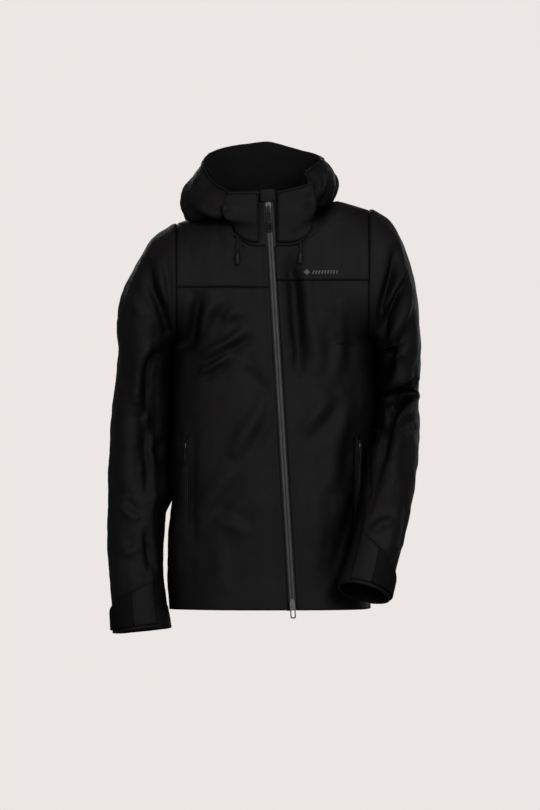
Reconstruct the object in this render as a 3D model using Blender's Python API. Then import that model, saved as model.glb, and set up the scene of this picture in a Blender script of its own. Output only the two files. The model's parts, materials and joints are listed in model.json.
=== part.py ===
"""A men's hooded hardshell jacket, hanging as worn: torso panels, yokes, collar and hood, two sleeves
with cuffs, a two-way front zip, two pocket zips and the cords. Metres, +Z up, front towards -Y,
wearer's left at +X. Heights are measured from the hem, and FRAME_SHIFT then moves the whole jacket so
that the origin lies under the middle of its bounding box, level with the lower cuff edge."""

import math

import bpy
from mathutils import Vector

# Driving sizes of the shell, from the hem up.
HALF_WIDTH = 0.164
TORSO_X = -0.004
SQUARENESS = 2.6
FRONT_DEPTH = (0.134, 0.090)
BACK_DEPTH = (0.122, 0.062)
DEPTH_TOP_Z = 0.720
NECK_Z = 0.682
NECK_FRONT_Z = 0.620
NECK_HALF = 0.078
NECK_X = -0.012
ARM_RADIUS = 0.094
ARM_Z = 0.546
ARM_GAP = 0.0075
YOKE_Z = (0.551, 0.563)
BACK_YOKE_Z = 0.575
SIDE_HALF = math.radians(22)
HEM_HEIGHT = 0.021
COLLAR_EDGE_Z = 0.715
COLLAR_HALF = 0.070
COLLAR_BACK = 0.056

# The lowered hood's sections, as (out from the neckline, height) from the base round to the rim.
HOOD_FRONT = ((0.004, 0.688), (0.008, 0.677), (0.010, 0.681), (0.008, 0.694), (0.004, 0.712))
HOOD_SIDE_RIGHT = ((0.006, 0.690), (0.056, 0.665), (0.066, 0.705), (0.040, 0.765), (0.014, 0.800))
HOOD_SIDE_LEFT = ((0.006, 0.690), (0.024, 0.694), (0.038, 0.728), (0.030, 0.755), (0.015, 0.772))
HOOD_BACK = ((0.018, 0.690), (0.070, 0.655), (0.085, 0.705), (0.062, 0.770), (0.030, 0.800))
HOOD_TURNS = (4, 118, 242, 351)
HOOD_PIVOT = Vector((NECK_X, -0.106, 0.628))

# The sleeves: the cap tips over the armpit, then follows (out, y, z, half width, half depth).
CAP_TILTS = (0, 14, 30, 48, 68, 90)
SLEEVE_RIGHT = (0.088, 1.6, (
    (0.2195, 0.0, 0.438, 0.0440, 0.080),
    (0.2238, 0.004, 0.360, 0.0490, 0.071),
    (0.2285, 0.008, 0.270, 0.0515, 0.065),
    (0.2313, 0.0, 0.187, 0.0508, 0.060),
    (0.2345, -0.014, 0.085, 0.0475, 0.052),
    (0.2290, -0.022, 0.017, 0.0470, 0.048),
    (0.2235, -0.026, -0.037, 0.0495, 0.046),
))
SLEEVE_LEFT = (0.078, 1.9, (
    (0.2145, 0.0, 0.438, 0.0390, 0.080),
    (0.2130, 0.026, 0.400, 0.0400, 0.074),
    (0.2105, 0.042, 0.345, 0.0410, 0.066),
    (0.2080, -0.035, 0.270, 0.0430, 0.059),
    (0.1900, -0.107, 0.165, 0.0430, 0.051),
    (0.1680, -0.147, 0.080, 0.0430, 0.048),
    (0.1540, -0.165, 0.030, 0.0450, 0.046),
))
# Ring numbers down the sleeve: the elbow, its soft panel, and the cuff as a share of the last step.
ELBOW = 7
ELBOW_RINGS = {"right": (6.55, 7.45), "left": (6.35, 7.65)}
CUFF_SHARE = 1.0
RING_GAP = 0.045
# Where the cuff tab is sewn on and where it ends, in degrees from the outside towards the front.
TAB_HINGE = 75
TAB_END = -35

# Front zip hardware. Outward sizes are measured from the face of the zip tape.
SLIDER_HALF = 0.0052
SLIDER_LENGTH = 0.013
BRIDGE_TOP = 0.0034
HINGE_OUT = 0.0048
TOP_PULL = 0.045
BOTTOM_PULL = 0.028
PULL_HEAD = 0.0006
PULL_HALF = 0.0026
CHIN_GUARD_HALF = 0.014

# Pocket zips, the chest mark, the neck label and the drawcords as (x, top, bottom).
POCKET_TURN = math.radians(56)
POCKET_Z = (0.130, 0.290)
BAG_TURN = math.radians(38)
BAG_WIDTH = math.radians(42)
MARK_X = (0.052, 0.111)
MARK_Z = (0.568, 0.582)
LABEL_TURN = math.radians(9)
LABEL_Z = (0.628, 0.652)
DRAWCORDS = {"right": (-0.064, 0.626, 0.606), "left": (0.043, 0.624, 0.608)}
CORD_OUT = 0.0052
LOCK_INSET = 0.018

# Sheet thickness, seam gaps and the front zip.
CLOTH = 0.0016
SEAM = 0.0009
SIDE_SEAM = 0.0020
ZIP_BOTTOM = Vector((0.030, -0.1342, 0.004))
ZIP_TOP = Vector((-0.012, -0.0920, 0.700))
ZIP_HALF = 0.0076
ZIP_OPENING = 0.0009
FLAP_HALF = 0.0175
FRAME_SHIFT = Vector((0.0181, 0.0310, 0.0430))

BLACK = (0.012, 0.011, 0.012, 1)
LINING = (0.030, 0.029, 0.031, 1)
GREY = (0.045, 0.045, 0.047, 1)
METAL = (0.18, 0.18, 0.19, 1)

PIVOTS = {}


# ---------------------------------------------------------------- scene helpers
def clear_scene():
    for obj in list(bpy.data.objects):
        bpy.data.objects.remove(obj, do_unlink=True)


def finish(name, colour, roughness, metallic=0.0):
    found = bpy.data.materials.get(name)
    if found:
        return found
    material = bpy.data.materials.new(name)
    material.use_nodes = True
    shader = material.node_tree.nodes["Principled BSDF"]
    shader.inputs["Base Color"].default_value = colour
    shader.inputs["Roughness"].default_value = roughness
    shader.inputs["Metallic"].default_value = metallic
    return material


def shell_fabric():
    return finish("shell_fabric", BLACK, 0.62)


def lining_fabric():
    return finish("lining_fabric", LINING, 0.75)


def zip_laminate():
    return finish("zip_laminate", GREY, 0.45)


def rubber():
    return finish("rubber", BLACK, 0.5)


def metal():
    return finish("painted_metal", METAL, 0.35, 0.9)


def pivot(name, place, parent=None):
    """An empty on a joint's axis. Places are in the jacket's own frame."""
    empty = bpy.data.objects.new(name + "_pivot", None)
    bpy.context.scene.collection.objects.link(empty)
    if parent:
        empty.parent = PIVOTS[parent][0]
        empty.location = place - PIVOTS[parent][1]
    else:
        empty.location = place + FRAME_SHIFT
    PIVOTS[name] = (empty, Vector(place))


def add(name, points, faces, material, body="jacket"):
    """A mesh object whose origin is its body's pivot. Faces are turned to point outwards."""
    empty, place = PIVOTS[body]
    mesh = bpy.data.meshes.new(name)
    mesh.from_pydata([tuple(Vector(p) - place) for p in points], [], faces)
    mesh.validate()
    if signed_volume(mesh) < 0:
        mesh.flip_normals()
    mesh.shade_smooth()
    mesh.set_sharp_from_angle(angle=math.radians(40))
    mesh.materials.append(material)
    obj = bpy.data.objects.new(name, mesh)
    obj.parent = empty
    bpy.context.scene.collection.objects.link(obj)
    return obj


def signed_volume(mesh):
    mesh.calc_loop_triangles()
    corners = [v.co for v in mesh.vertices]
    triangles = [t.vertices for t in mesh.loop_triangles]
    return sum(corners[a].dot(corners[b].cross(corners[c])) for a, b, c in triangles)


def mix(a, b, t):
    return a + (b - a) * t


def smooth(t):
    t = min(1.0, max(0.0, t))
    return t * t * (3 - 2 * t)


# ---------------------------------------------------------------- solids
def sheet(name, surface, columns, rows, material, body="jacket", lift=0.0, thick=CLOTH, wrap=False):
    """A cloth panel: surface(u, v) for u and v from 0 to 1, thickened inwards from lift."""
    step = 1e-4

    def lifted(u, v, height):
        across = surface(u + step, v) - surface(u - step, v)
        along = surface(u, v + step) - surface(u, v - step)
        return surface(u, v) + across.cross(along).normalized() * height

    around = columns if wrap else columns + 1
    grid = [(i / columns, j / rows) for i in range(around) for j in range(rows + 1)]
    outer = [lifted(u, v, lift) for u, v in grid]
    inner = [lifted(u, v, lift - thick) for u, v in grid]
    tall, count = rows + 1, len(grid)
    faces = []
    for i in range(columns):
        for j in range(rows):
            a, b = i * tall + j, (i + 1) % around * tall + j
            faces += [(a, b, b + 1, a + 1), (a + count, a + 1 + count, b + 1 + count, b + count)]
        a, b = i * tall, (i + 1) % around * tall
        faces.append((a, a + count, b + count, b))
        faces.append((a + rows, b + rows, b + rows + count, a + rows + count))
    if not wrap:
        last = columns * tall
        for j in range(rows):
            faces.append((j, j + 1, j + 1 + count, j + count))
            faces.append((last + j, last + j + count, last + j + 1 + count, last + j + 1))
    return add(name, outer + inner, faces, material, body)


def prism(name, outline, frame, low, high, material, body="jacket"):
    """An outline of (across, up) points in a frame (place, across, up, out), from low to high along out."""
    place, across, up, out = frame
    flat = [place + across * x + up * y for x, y in outline]
    count = len(flat)
    points = [p + out * high for p in flat] + [p + out * low for p in flat]
    faces = [tuple(range(count)), tuple(range(2 * count - 1, count - 1, -1))]
    for i in range(count):
        j = (i + 1) % count
        faces.append((i, i + count, j + count, j))
    return add(name, points, faces, material, body)


def loop_plate(name, outer, inner, frame, low, high, material, body="jacket"):
    """A plate with a hole: two outlines with the same number of points."""
    place, across, up, out = frame
    loops = [(outer, high), (inner, high), (inner, low), (outer, low)]
    points = [place + across * x + up * y + out * h for line, h in loops for x, y in line]
    count = len(outer)
    faces = []
    for i in range(count):
        j = (i + 1) % count
        for k in range(4):
            a, b = k * count, (k + 1) % 4 * count
            faces.append((a + i, a + j, b + j, b + i))
    return add(name, points, faces, material, body)


def cord(name, path, radius, material, body="jacket", sides=6):
    """A round cord along a path of points, closed at both ends."""
    points, faces = [], []
    for k, centre in enumerate(path):
        run = (path[min(k + 1, len(path) - 1)] - path[max(k - 1, 0)]).normalized()
        side = run.orthogonal().normalized() if k == 0 else (side - run * side.dot(run)).normalized()
        other = run.cross(side)
        turns = [2 * math.pi * i / sides for i in range(sides)]
        points += [centre + (side * math.cos(a) + other * math.sin(a)) * radius for a in turns]
    for k in range(len(path) - 1):
        for i in range(sides):
            j = (i + 1) % sides
            faces.append((k * sides + i, k * sides + j, (k + 1) * sides + j, (k + 1) * sides + i))
    faces.append(tuple(range(sides - 1, -1, -1)))
    faces.append(tuple((len(path) - 1) * sides + i for i in range(sides)))
    return add(name, points, faces, material, body)


def stadium(half_width, bottom, top, corner, count=4):
    """A rectangle outline with round corners, as (across, up) points."""
    points = []
    corners = [
        (half_width - corner, top - corner, 0),
        (corner - half_width, top - corner, 90),
        (corner - half_width, bottom + corner, 180),
        (half_width - corner, bottom + corner, 270),
    ]
    for x, y, start in corners:
        for k in range(count + 1):
            turn = math.radians(start + 90 * k / count)
            points.append((x + corner * math.cos(turn), y + corner * math.sin(turn)))
    return points


# ---------------------------------------------------------------- the torso surface
def depth(z, back):
    """How far the front or the back stands from the side line. The front is straight, for the zip."""
    low, high = BACK_DEPTH if back else FRONT_DEPTH
    if not back:
        return mix(low, high, z / DEPTH_TOP_Z)
    return mix(low, high, smooth((z - 0.50) / (NECK_Z - 0.50)))


def armhole_depth(z):
    return math.sqrt(max(0.0, ARM_RADIUS**2 - (z - ARM_Z) ** 2))


def half_width(z, back):
    """The half width of a level section. Beside an armhole it is the width the section would close at."""
    top = ARM_Z + ARM_RADIUS
    if z > top:
        return mix(HALF_WIDTH, NECK_HALF, (z - top) / (NECK_Z - top))
    ratio = armhole_depth(z) / depth(z, back)
    return HALF_WIDTH / (1 - ratio**SQUARENESS) ** (1 / SQUARENESS)


def torso(turn, z):
    """The point on the shell at a turn (0 front, 90 degrees wearer's left, 180 back) and a height."""
    sine, cosine = math.sin(turn), math.cos(turn)
    back = cosine < 0
    reach = (abs(sine) ** SQUARENESS + abs(cosine) ** SQUARENESS) ** (-1 / SQUARENESS)
    top = ARM_Z + ARM_RADIUS
    middle = mix(TORSO_X, NECK_X, smooth((z - top) / (NECK_Z - top)))
    x = middle + half_width(z, back) * reach * sine
    return Vector((x, -depth(z, back) * reach * cosine, z))


def armhole_turn(z, back):
    """The turn at which a level section meets the armhole."""
    if z >= ARM_Z + ARM_RADIUS:
        return math.pi / 2
    across = HALF_WIDTH / half_width(z, back)
    turn = math.atan2(across, armhole_depth(z) / depth(z, back))
    return math.pi - turn if back else turn


def side_turn(z, back):
    """The edge of the front or back: the armhole above, and the side panel's seam below it."""
    armpit = ARM_Z - ARM_RADIUS
    if z >= armpit:
        return armhole_turn(z, back)
    half = SIDE_HALF * (armpit - z) / armpit
    return math.pi / 2 + half if back else math.pi / 2 - half


def zip_x(z):
    return mix(ZIP_BOTTOM.x, ZIP_TOP.x, (z - ZIP_BOTTOM.z) / (ZIP_TOP.z - ZIP_BOTTOM.z))


def turn_at(x, z):
    """The turn of the front point at a given x."""
    top = ARM_Z + ARM_RADIUS
    middle = mix(TORSO_X, NECK_X, smooth((z - top) / (NECK_Z - top)))
    across = (x - middle) / half_width(z, False)
    return math.atan2(across, (1 - abs(across) ** SQUARENESS) ** (1 / SQUARENESS))


def neckline(turn):
    """The height of the neckline: low and level in front, and rising to the shoulders."""
    away = abs(math.atan2(math.sin(turn), math.cos(turn)))
    rise = smooth((away - math.radians(13)) / math.radians(40))
    return mix(NECK_FRONT_Z, NECK_Z, rise)


def front_turn(side, out, z):
    """The turn at a share of the way from the zip to the front's outer edge."""
    start = turn_at(zip_x(z) + side * (ZIP_HALF + SEAM), z)
    return mix(start, side * (side_turn(z, False) - SIDE_SEAM / HALF_WIDTH), out)


def front_surface(side, low, high):
    """The front from the zip to the side edge. low and high are heights at a share of the way out."""

    def surface(u, v):
        out = u if side > 0 else 1 - u
        z = mix(low(side, out), high(side, out), v)
        return torso(front_turn(side, out, z), z)

    return surface


def back_surface(low, high):
    def surface(u, v):
        z = mix(low, high, v)
        edge = side_turn(z, True) + SIDE_SEAM / HALF_WIDTH
        return torso(mix(edge, 2 * math.pi - edge, u), z)

    return surface


def side_surface(side, low, high):
    def surface(u, v):
        z = mix(low, high, v)
        front = side_turn(z, False) + SIDE_SEAM / HALF_WIDTH
        back = side_turn(z, True) - SIDE_SEAM / HALF_WIDTH
        return torso(mix(front, back, u) if side > 0 else -mix(back, front, u), z)

    return surface


def level(z):
    return lambda side, out: z


def yoke_top(side, out):
    """The neckline at a share of the way out. The turn and the height depend on each other."""
    z = NECK_FRONT_Z
    for _ in range(12):
        z = mix(z, neckline(front_turn(side, out, z)), 0.6)
    return z - SEAM


def build_torso():
    fabric = shell_fabric()
    for side, name, yoke in ((-1, "right", YOKE_Z[0]), (1, "left", YOKE_Z[1])):
        lower = front_surface(side, level(0.0), level(yoke - SEAM))
        sheet("front_panel_" + name, lower, 10, 8, fabric)
        sheet("front_yoke_" + name, front_surface(side, level(yoke + SEAM), yoke_top), 14, 5, fabric)
        panel = side_surface(side, 0.0, ARM_Z - ARM_RADIUS - 0.020)
        sheet("side_panel_" + name, panel, 4, 6, fabric)
    sheet("back_panel", back_surface(0.0, BACK_YOKE_Z - SEAM), 22, 8, fabric)
    sheet("back_yoke", back_surface(BACK_YOKE_Z + SEAM, NECK_Z - SEAM), 22, 5, fabric)
    hem = hem_ring(0.003, HEM_HEIGHT)
    sheet("hem_facing", hem, 44, 1, lining_fabric(), lift=-CLOTH - 0.0052, thick=0.0010)
    path = [hem(i / 44, 0.3) for i in range(45)]
    inner = [p + (Vector((TORSO_X, 0, p.z)) - p).normalized() * 0.0043 for p in path]
    cord("hem_cord", inner, 0.0010, rubber(), sides=4)


def hem_ring(low, high):
    """A level band all round the hem, open at the zip."""

    def surface(u, v):
        z = mix(low, high, v)
        start = turn_at(zip_x(z) + FLAP_HALF + 0.002, z)
        end = turn_at(zip_x(z) - FLAP_HALF - 0.002, z)
        return torso(mix(start, 2 * math.pi + end, u), z)

    return surface


# ---------------------------------------------------------------- collar and hood
def neck_point(turn):
    return torso(turn, neckline(turn) + 0.0045)


def collar_top(turn):
    """The collar's upper edge: its front lies on the zip's line."""
    sine, cosine = math.sin(turn), math.cos(turn)
    reach = (abs(sine) ** SQUARENESS + abs(cosine) ** SQUARENESS) ** (-1 / SQUARENESS)
    deep = depth(COLLAR_EDGE_Z, False) if cosine > 0 else COLLAR_BACK
    return Vector((NECK_X + COLLAR_HALF * reach * sine, -deep * reach * cosine, COLLAR_EDGE_Z))


def collar_turn(x):
    across = (x - NECK_X) / COLLAR_HALF
    return math.atan2(across, (1 - abs(across) ** SQUARENESS) ** (1 / SQUARENESS))


def collar(u, v):
    edge = ZIP_HALF + SEAM
    low, high = neckline(0), COLLAR_EDGE_Z
    start = mix(turn_at(zip_x(low) + edge, low), collar_turn(zip_x(high) + edge), v)
    end = mix(turn_at(zip_x(low) - edge, low), collar_turn(zip_x(high) - edge), v)
    turn = mix(start, 2 * math.pi + end, u)
    return mix(neck_point(turn), collar_top(turn), v)


def hood_profile(turn, v):
    """The lowered hood's section at a turn: out from the neckline, over a full roll and up to the rim."""
    sine, cosine = math.sin(turn), math.cos(turn)
    weights = (
        (HOOD_SIDE_RIGHT if sine < 0 else HOOD_SIDE_LEFT, sine * sine),
        (HOOD_FRONT if cosine > 0 else HOOD_BACK, cosine * cosine),
    )
    knots = [
        [sum(profile[k][axis] * weight for profile, weight in weights) for axis in (0, 1)]
        for k in range(len(HOOD_FRONT))
    ]
    place = min(v * (len(knots) - 1), len(knots) - 1.0001)
    k, t = int(place), place - int(place)
    before, after = knots[max(k - 1, 0)], knots[min(k + 2, len(knots) - 1)]
    spots = [spline(before[a], knots[k][a], knots[k + 1][a], after[a], t) for a in (0, 1)]
    base = torso(turn, neckline(turn))
    heading = Vector((sine, -cosine, 0))
    rise = spots[1] + (neckline(turn) - NECK_Z) * (1 - v) ** 2
    return Vector((base.x, base.y, 0)) + heading * spots[0] + Vector((0, 0, rise))


def spline(a, b, c, d, t):
    return b + 0.5 * t * (c - a + t * (2 * a - 5 * b + 4 * c - d + t * (3 * (b - c) + d - a)))


def hood_surface(start, end, low, high):
    return lambda u, v: hood_profile(math.radians(mix(start, end, u)), mix(low, high, v))


def build_neck():
    fabric = shell_fabric()
    sheet("collar", collar, 32, 2, fabric)
    pivot("hood", HOOD_PIVOT, "jacket")
    first, left, right, last = HOOD_TURNS
    sheet("hood_side_panel_left", hood_surface(first, left - 0.6, 0.0, 0.87), 10, 6, fabric, "hood")
    sheet("hood_centre_panel", hood_surface(left + 0.6, right - 0.6, 0.0, 0.87), 10, 6, fabric, "hood")
    sheet("hood_side_panel_right", hood_surface(right + 0.6, last, 0.0, 0.87), 10, 6, fabric, "hood")
    brim = hood_surface(first, last, 0.95, 1.0)
    sheet("hood_brim", brim, 30, 1, fabric, "hood", lift=0.0006, thick=0.0028)


# ---------------------------------------------------------------- sleeves
def arm_root(side):
    return Vector((TORSO_X + side * (HALF_WIDTH + ARM_GAP), 0, ARM_Z))


def sleeve_frames(side):
    """Rings down a sleeve: (centre, across, forward, half width, half depth). The first is the armhole."""
    narrow, power, keys = SLEEVE_LEFT if side > 0 else SLEEVE_RIGHT
    frames = []
    for degrees in CAP_TILTS:
        share = degrees / 90
        tilt = math.radians(degrees)
        armpit = arm_root(side) + Vector((side * 0.004 * share, 0, -ARM_RADIUS - 0.014 * share))
        across = Vector((side * math.sin(tilt), 0, math.cos(tilt)))
        wide = narrow + (2 * ARM_RADIUS - narrow) * (1 - share) ** power
        deep = mix(keys[0][4], ARM_RADIUS, (1 - share) ** 1.2)
        frames.append((armpit + across * wide / 2, across, Vector((0, -1, 0)), wide / 2, deep))
    places = [frames[-1][0]] + [Vector((TORSO_X + side * k[0], k[1], k[2])) for k in keys[1:]]
    for i in range(1, len(keys)):
        run = (places[min(i + 1, len(keys) - 1)] - places[i - 1]).normalized()
        outward = Vector((side, 0, 0))
        across = (outward - run * run.dot(outward)).normalized()
        forward = run.cross(across) * side
        frames.append((places[i], across, forward, keys[i][3], keys[i][4]))
    return frames


def sleeve_point(side, degrees, place):
    """A point on the sleeve at a turn (0 outside, 90 front) and a ring number, which may be a fraction."""
    frames = sleeve_frames(side)
    k = min(int(max(place, 0)), len(frames) - 2)
    centre, across, forward, wide, deep = (mix(a, b, place - k) for a, b in zip(frames[k], frames[k + 1]))
    turn = math.radians(degrees)
    return centre + across * (wide * math.cos(turn)) + forward * (deep * math.sin(turn))


def sleeve(side, first, last, low, high):
    """The sleeve between two turns and two ring numbers."""

    def surface(u, v):
        turn = mix(first, last, u if side > 0 else 1 - u)
        return sleeve_point(side, turn, mix(low, high, v))

    return surface


def build_sleeve(side, name):
    fabric = shell_fabric()
    elbow_top, elbow_low = ELBOW_RINGS[name]
    last = len(sleeve_frames(side)) - 1
    pivot("upper_arm_" + name, arm_root(side), "jacket")
    upper = "upper_arm_" + name
    sheet("sleeve_outer_" + name, sleeve(side, -122, 122, 0, elbow_top), 14, 8, fabric, upper)
    sheet("sleeve_under_" + name, sleeve(side, 127, 233, 0, elbow_top), 6, 8, fabric, upper)
    elbow = sleeve(side, 0, 360, elbow_top + RING_GAP, elbow_low - RING_GAP)
    sheet("elbow_panel_" + name, elbow, 18, 3, fabric, upper, wrap=True)
    pivot("lower_arm_" + name, sleeve_frames(side)[ELBOW][0], upper)
    lower = "lower_arm_" + name
    tube = sleeve(side, 0, 360, elbow_low, last - CUFF_SHARE - RING_GAP)
    sheet("lower_sleeve_" + name, tube, 18, 6, fabric, lower, wrap=True)
    cuff = sleeve(side, 0, 360, last - CUFF_SHARE, last)
    sheet("cuff_" + name, cuff, 18, 2, fabric, lower, lift=0.0004, thick=0.0024, wrap=True)
    hinge = sleeve_point(side, TAB_HINGE, last - CUFF_SHARE / 2)
    pivot("cuff_tab_" + name, hinge, lower)
    tab = sleeve(side, TAB_END, TAB_HINGE, last - 0.80 * CUFF_SHARE, last - 0.22 * CUFF_SHARE)
    sheet("cuff_tab_" + name, tab, 8, 2, rubber(), "cuff_tab_" + name, lift=0.0034, thick=0.0020)


# ---------------------------------------------------------------- zips and pulls
def zip_frame(bottom, top, along):
    """A frame on a straight zip at a height along it: (place, across, up, out)."""
    up = (top - bottom).normalized()
    across = Vector((1, 0, 0)) - up * up.x
    across = across.normalized()
    return (bottom + up * along, across, up, across.cross(up))


def box(half, low, high):
    return [(-half, low), (half, low), (half, high), (-half, high)]


def strip(name, frame, start, end, low, high, bottom, top, material, body="jacket"):
    """A straight strip from bottom to top, from start to end across and from low to high outwards."""
    prism(name, [(start, bottom), (end, bottom), (end, top), (start, top)], frame, low, high, material, body)


def slider(name, frame):
    """A slider: a front plate with a bridge, a post through the opening and a back plate."""
    place, across, up, out = frame
    half, bridge = SLIDER_HALF, 0.0020
    post = ZIP_OPENING - 0.0004
    back_low, back_top = -0.0054, -0.0042
    plate_low, plate_top = 0.0004, 0.0022
    profile = [
        (-half, plate_low), (-post, plate_low), (-post, back_top), (-half, back_top),
        (-half, back_low), (half, back_low), (half, back_top), (post, back_top),
        (post, plate_low), (half, plate_low), (half, plate_top), (bridge, plate_top),
        (bridge, BRIDGE_TOP), (-bridge, BRIDGE_TOP), (-bridge, plate_top), (-half, plate_top),
    ]
    turned = (place, across, out, up)
    prism(name, profile, turned, -SLIDER_LENGTH / 2, SLIDER_LENGTH / 2, metal(), name)


def build_front_zip():
    frame = zip_frame(ZIP_BOTTOM, ZIP_TOP, 0.0)
    length = (ZIP_TOP - ZIP_BOTTOM).length
    for side, name in ((-1, "right"), (1, "left")):
        edges = sorted((side * ZIP_OPENING, side * (ZIP_HALF - SEAM)))
        strip("zip_tape_" + name, frame, *edges, -0.0010, 0.0, 0.0, length, zip_laminate())
        edges = sorted((side * ZIP_OPENING, side * 0.0034))
        strip("zip_coil_" + name, frame, *edges, -0.0036, -0.0014, 0.003, length - 0.004, rubber())
    flap_low, flap_top = 0.004, length - 0.012
    strip("storm_flap", frame, -FLAP_HALF, FLAP_HALF, -0.0085, -0.0072, flap_low, flap_top, lining_fabric())
    for name, along in (("top", length - 0.012), ("bottom", 0.010)):
        place, across, up, out = zip_frame(ZIP_BOTTOM, ZIP_TOP, along)
        pivot("zip_slider_" + name, place, "jacket")
        slider("zip_slider_" + name, (place, across, up, out))
        hinge = place + out * HINGE_OUT
        pivot("zip_pull_" + name, hinge, "zip_slider_" + name)
        hung = (hinge, across, up, out)
        if name == "top":
            prism("zip_pull_top", pull_outline(), hung, -0.0009, 0.0012, rubber(), "zip_pull_top")
        else:
            outer = stadium(0.0048, -BOTTOM_PULL, PULL_HEAD, 0.0040)
            inner = stadium(PULL_HALF, -BOTTOM_PULL + 0.0024, -0.0040, 0.0020)
            loop_plate("zip_pull_bottom", outer, inner, hung, -0.0008, 0.0008, metal(), "zip_pull_bottom")


def pull_outline():
    """A narrow ribbed neck that widens into a flat grip."""
    neck, grip, rib = PULL_HALF, 0.0047, 0.0041
    first_rib, rib_pitch = -0.012, 0.0034
    right = [(neck, PULL_HEAD), (neck, first_rib)]
    for k in range(4):
        z = first_rib - rib_pitch * k
        right += [(rib, z - 0.0006), (rib, z - 0.0022), (neck, z - 0.0028)]
    right += [(grip, -0.028), (grip, -TOP_PULL + 0.002), (grip - 0.002, -TOP_PULL)]
    return [(-x, z) for x, z in right[::-1]] + right


def build_pocket(side, name):
    turn = side * POCKET_TURN
    bottom, top = torso(turn, POCKET_Z[0]), torso(turn, POCKET_Z[1])
    near = (torso(turn + 0.01, POCKET_Z[0]) - torso(turn - 0.01, POCKET_Z[0])).normalized()
    up = (top - bottom).normalized()
    across = (near - up * near.dot(up)).normalized()
    out = across.cross(up)
    length = (top - bottom).length
    raised = (bottom + out * 0.0012, across, up, out)
    strip("pocket_zip_" + name, raised, -0.0055, 0.0055, 0.0, 0.0010, 0.0, length, zip_laminate())
    body = "pocket_slider_" + name
    place = bottom + up * (length - 0.012) + out * 0.0022
    pivot(body, place, "jacket")
    hung = (place, across, up, out)
    tab = [(-0.0035, 0.006), (-0.0035, -0.022), (-0.0020, -0.030), (0.0020, -0.030), (0.0035, -0.022)]
    prism(body, tab + [(0.0035, 0.006)], hung, 0.0005, 0.0030, metal(), body)

    def bag(u, v):
        z = mix(POCKET_Z[0] - 0.03, POCKET_Z[1], v)
        return torso(side * BAG_TURN + BAG_WIDTH * (u - 0.5), z)

    sheet("pocket_bag_" + name, bag, 5, 3, lining_fabric(), lift=-CLOTH - 0.0090, thick=0.0030)


# ---------------------------------------------------------------- small pieces
def build_small_pieces():
    length = (ZIP_TOP - ZIP_BOTTOM).length
    top = zip_frame(ZIP_BOTTOM, ZIP_TOP, length)
    guard = stadium(CHIN_GUARD_HALF, -0.003, 0.016, 0.003, 2)
    prism("chin_guard", guard, top, 0.0012, 0.0034, shell_fabric())
    loop = [
        (-0.030, -0.012), (-0.026, -0.012), (-0.026, 0.006), (0.026, 0.006), (0.026, -0.012),
        (0.030, -0.012), (0.030, 0.009), (-0.030, 0.009),
    ]
    inside = (Vector((NECK_X, 0.048, 0.700)), Vector((1, 0, 0)), Vector((0, 0, 1)), Vector((0, -1, 0)))
    prism("hanger_loop", loop, inside, -0.003, 0.003, rubber())

    def label(u, v):
        return torso(math.pi + mix(-LABEL_TURN, LABEL_TURN, u), mix(*LABEL_Z, v))

    sheet("neck_label", label, 3, 1, lining_fabric(), lift=-CLOTH - 0.0030, thick=0.0007)

    def mark(u, v):
        z = mix(*MARK_Z, v)
        return torso(turn_at(mix(*MARK_X, u), z), z)

    sheet("chest_mark", mark, 5, 1, zip_laminate(), lift=0.0016, thick=0.0006)
    for side, name in ((-1, "right"), (1, "left")):
        build_drawcord(name)
        build_hem_lock(side, name)


def build_drawcord(name):
    body = "drawcord_" + name
    x, high, low = DRAWCORDS[name]
    y = -depth(low, False) - CORD_OUT
    pivot(body, Vector((x, y, low)), "jacket")
    path = [Vector((x, -depth(z, False) - CORD_OUT, z)) for z in (high, mix(high, low, 0.5), low)]
    cord(body, path, 0.0011, rubber(), body)
    end = (path[-1] + Vector((0, 0, -0.0006)), Vector((1, 0, 0)), Vector((0, 0, 1)), Vector((0, -1, 0)))
    outline = stadium(0.0036, -0.018, 0.0, 0.0018, 2)
    prism("cord_end_" + name, outline, end, -0.0020, 0.0020, rubber(), body)


def build_hem_lock(side, name):
    body = "hem_lock_" + name
    place = Vector((TORSO_X + side * (HALF_WIDTH - LOCK_INSET), 0, 0.013))
    pivot(body, place, "jacket")
    frame = (place, Vector((0, 1, 0)), Vector((0, 0, 1)), Vector((1, 0, 0)))
    prism(body, stadium(0.008, -0.0055, 0.0055, 0.0025, 2), frame, -0.004, 0.004, rubber(), body)


def main():
    clear_scene()
    pivot("jacket", Vector())
    build_torso()
    build_neck()
    build_front_zip()
    for side, name in ((-1, "right"), (1, "left")):
        build_sleeve(side, name)
        build_pocket(side, name)
    build_small_pieces()


main()
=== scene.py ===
"""Looks of the hardshell jacket: cloth panels with folds and seams, the hood, and the laminated zip with its
hardware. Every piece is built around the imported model. Shapes are worked out in the jacket's own frame, whose
origin lies at the hem in the middle of the body (metres, +Z up, front towards -Y), and moved by ORIGIN."""

import json
import math

import bmesh
import bpy
import numpy as np
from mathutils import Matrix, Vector, noise

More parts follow.
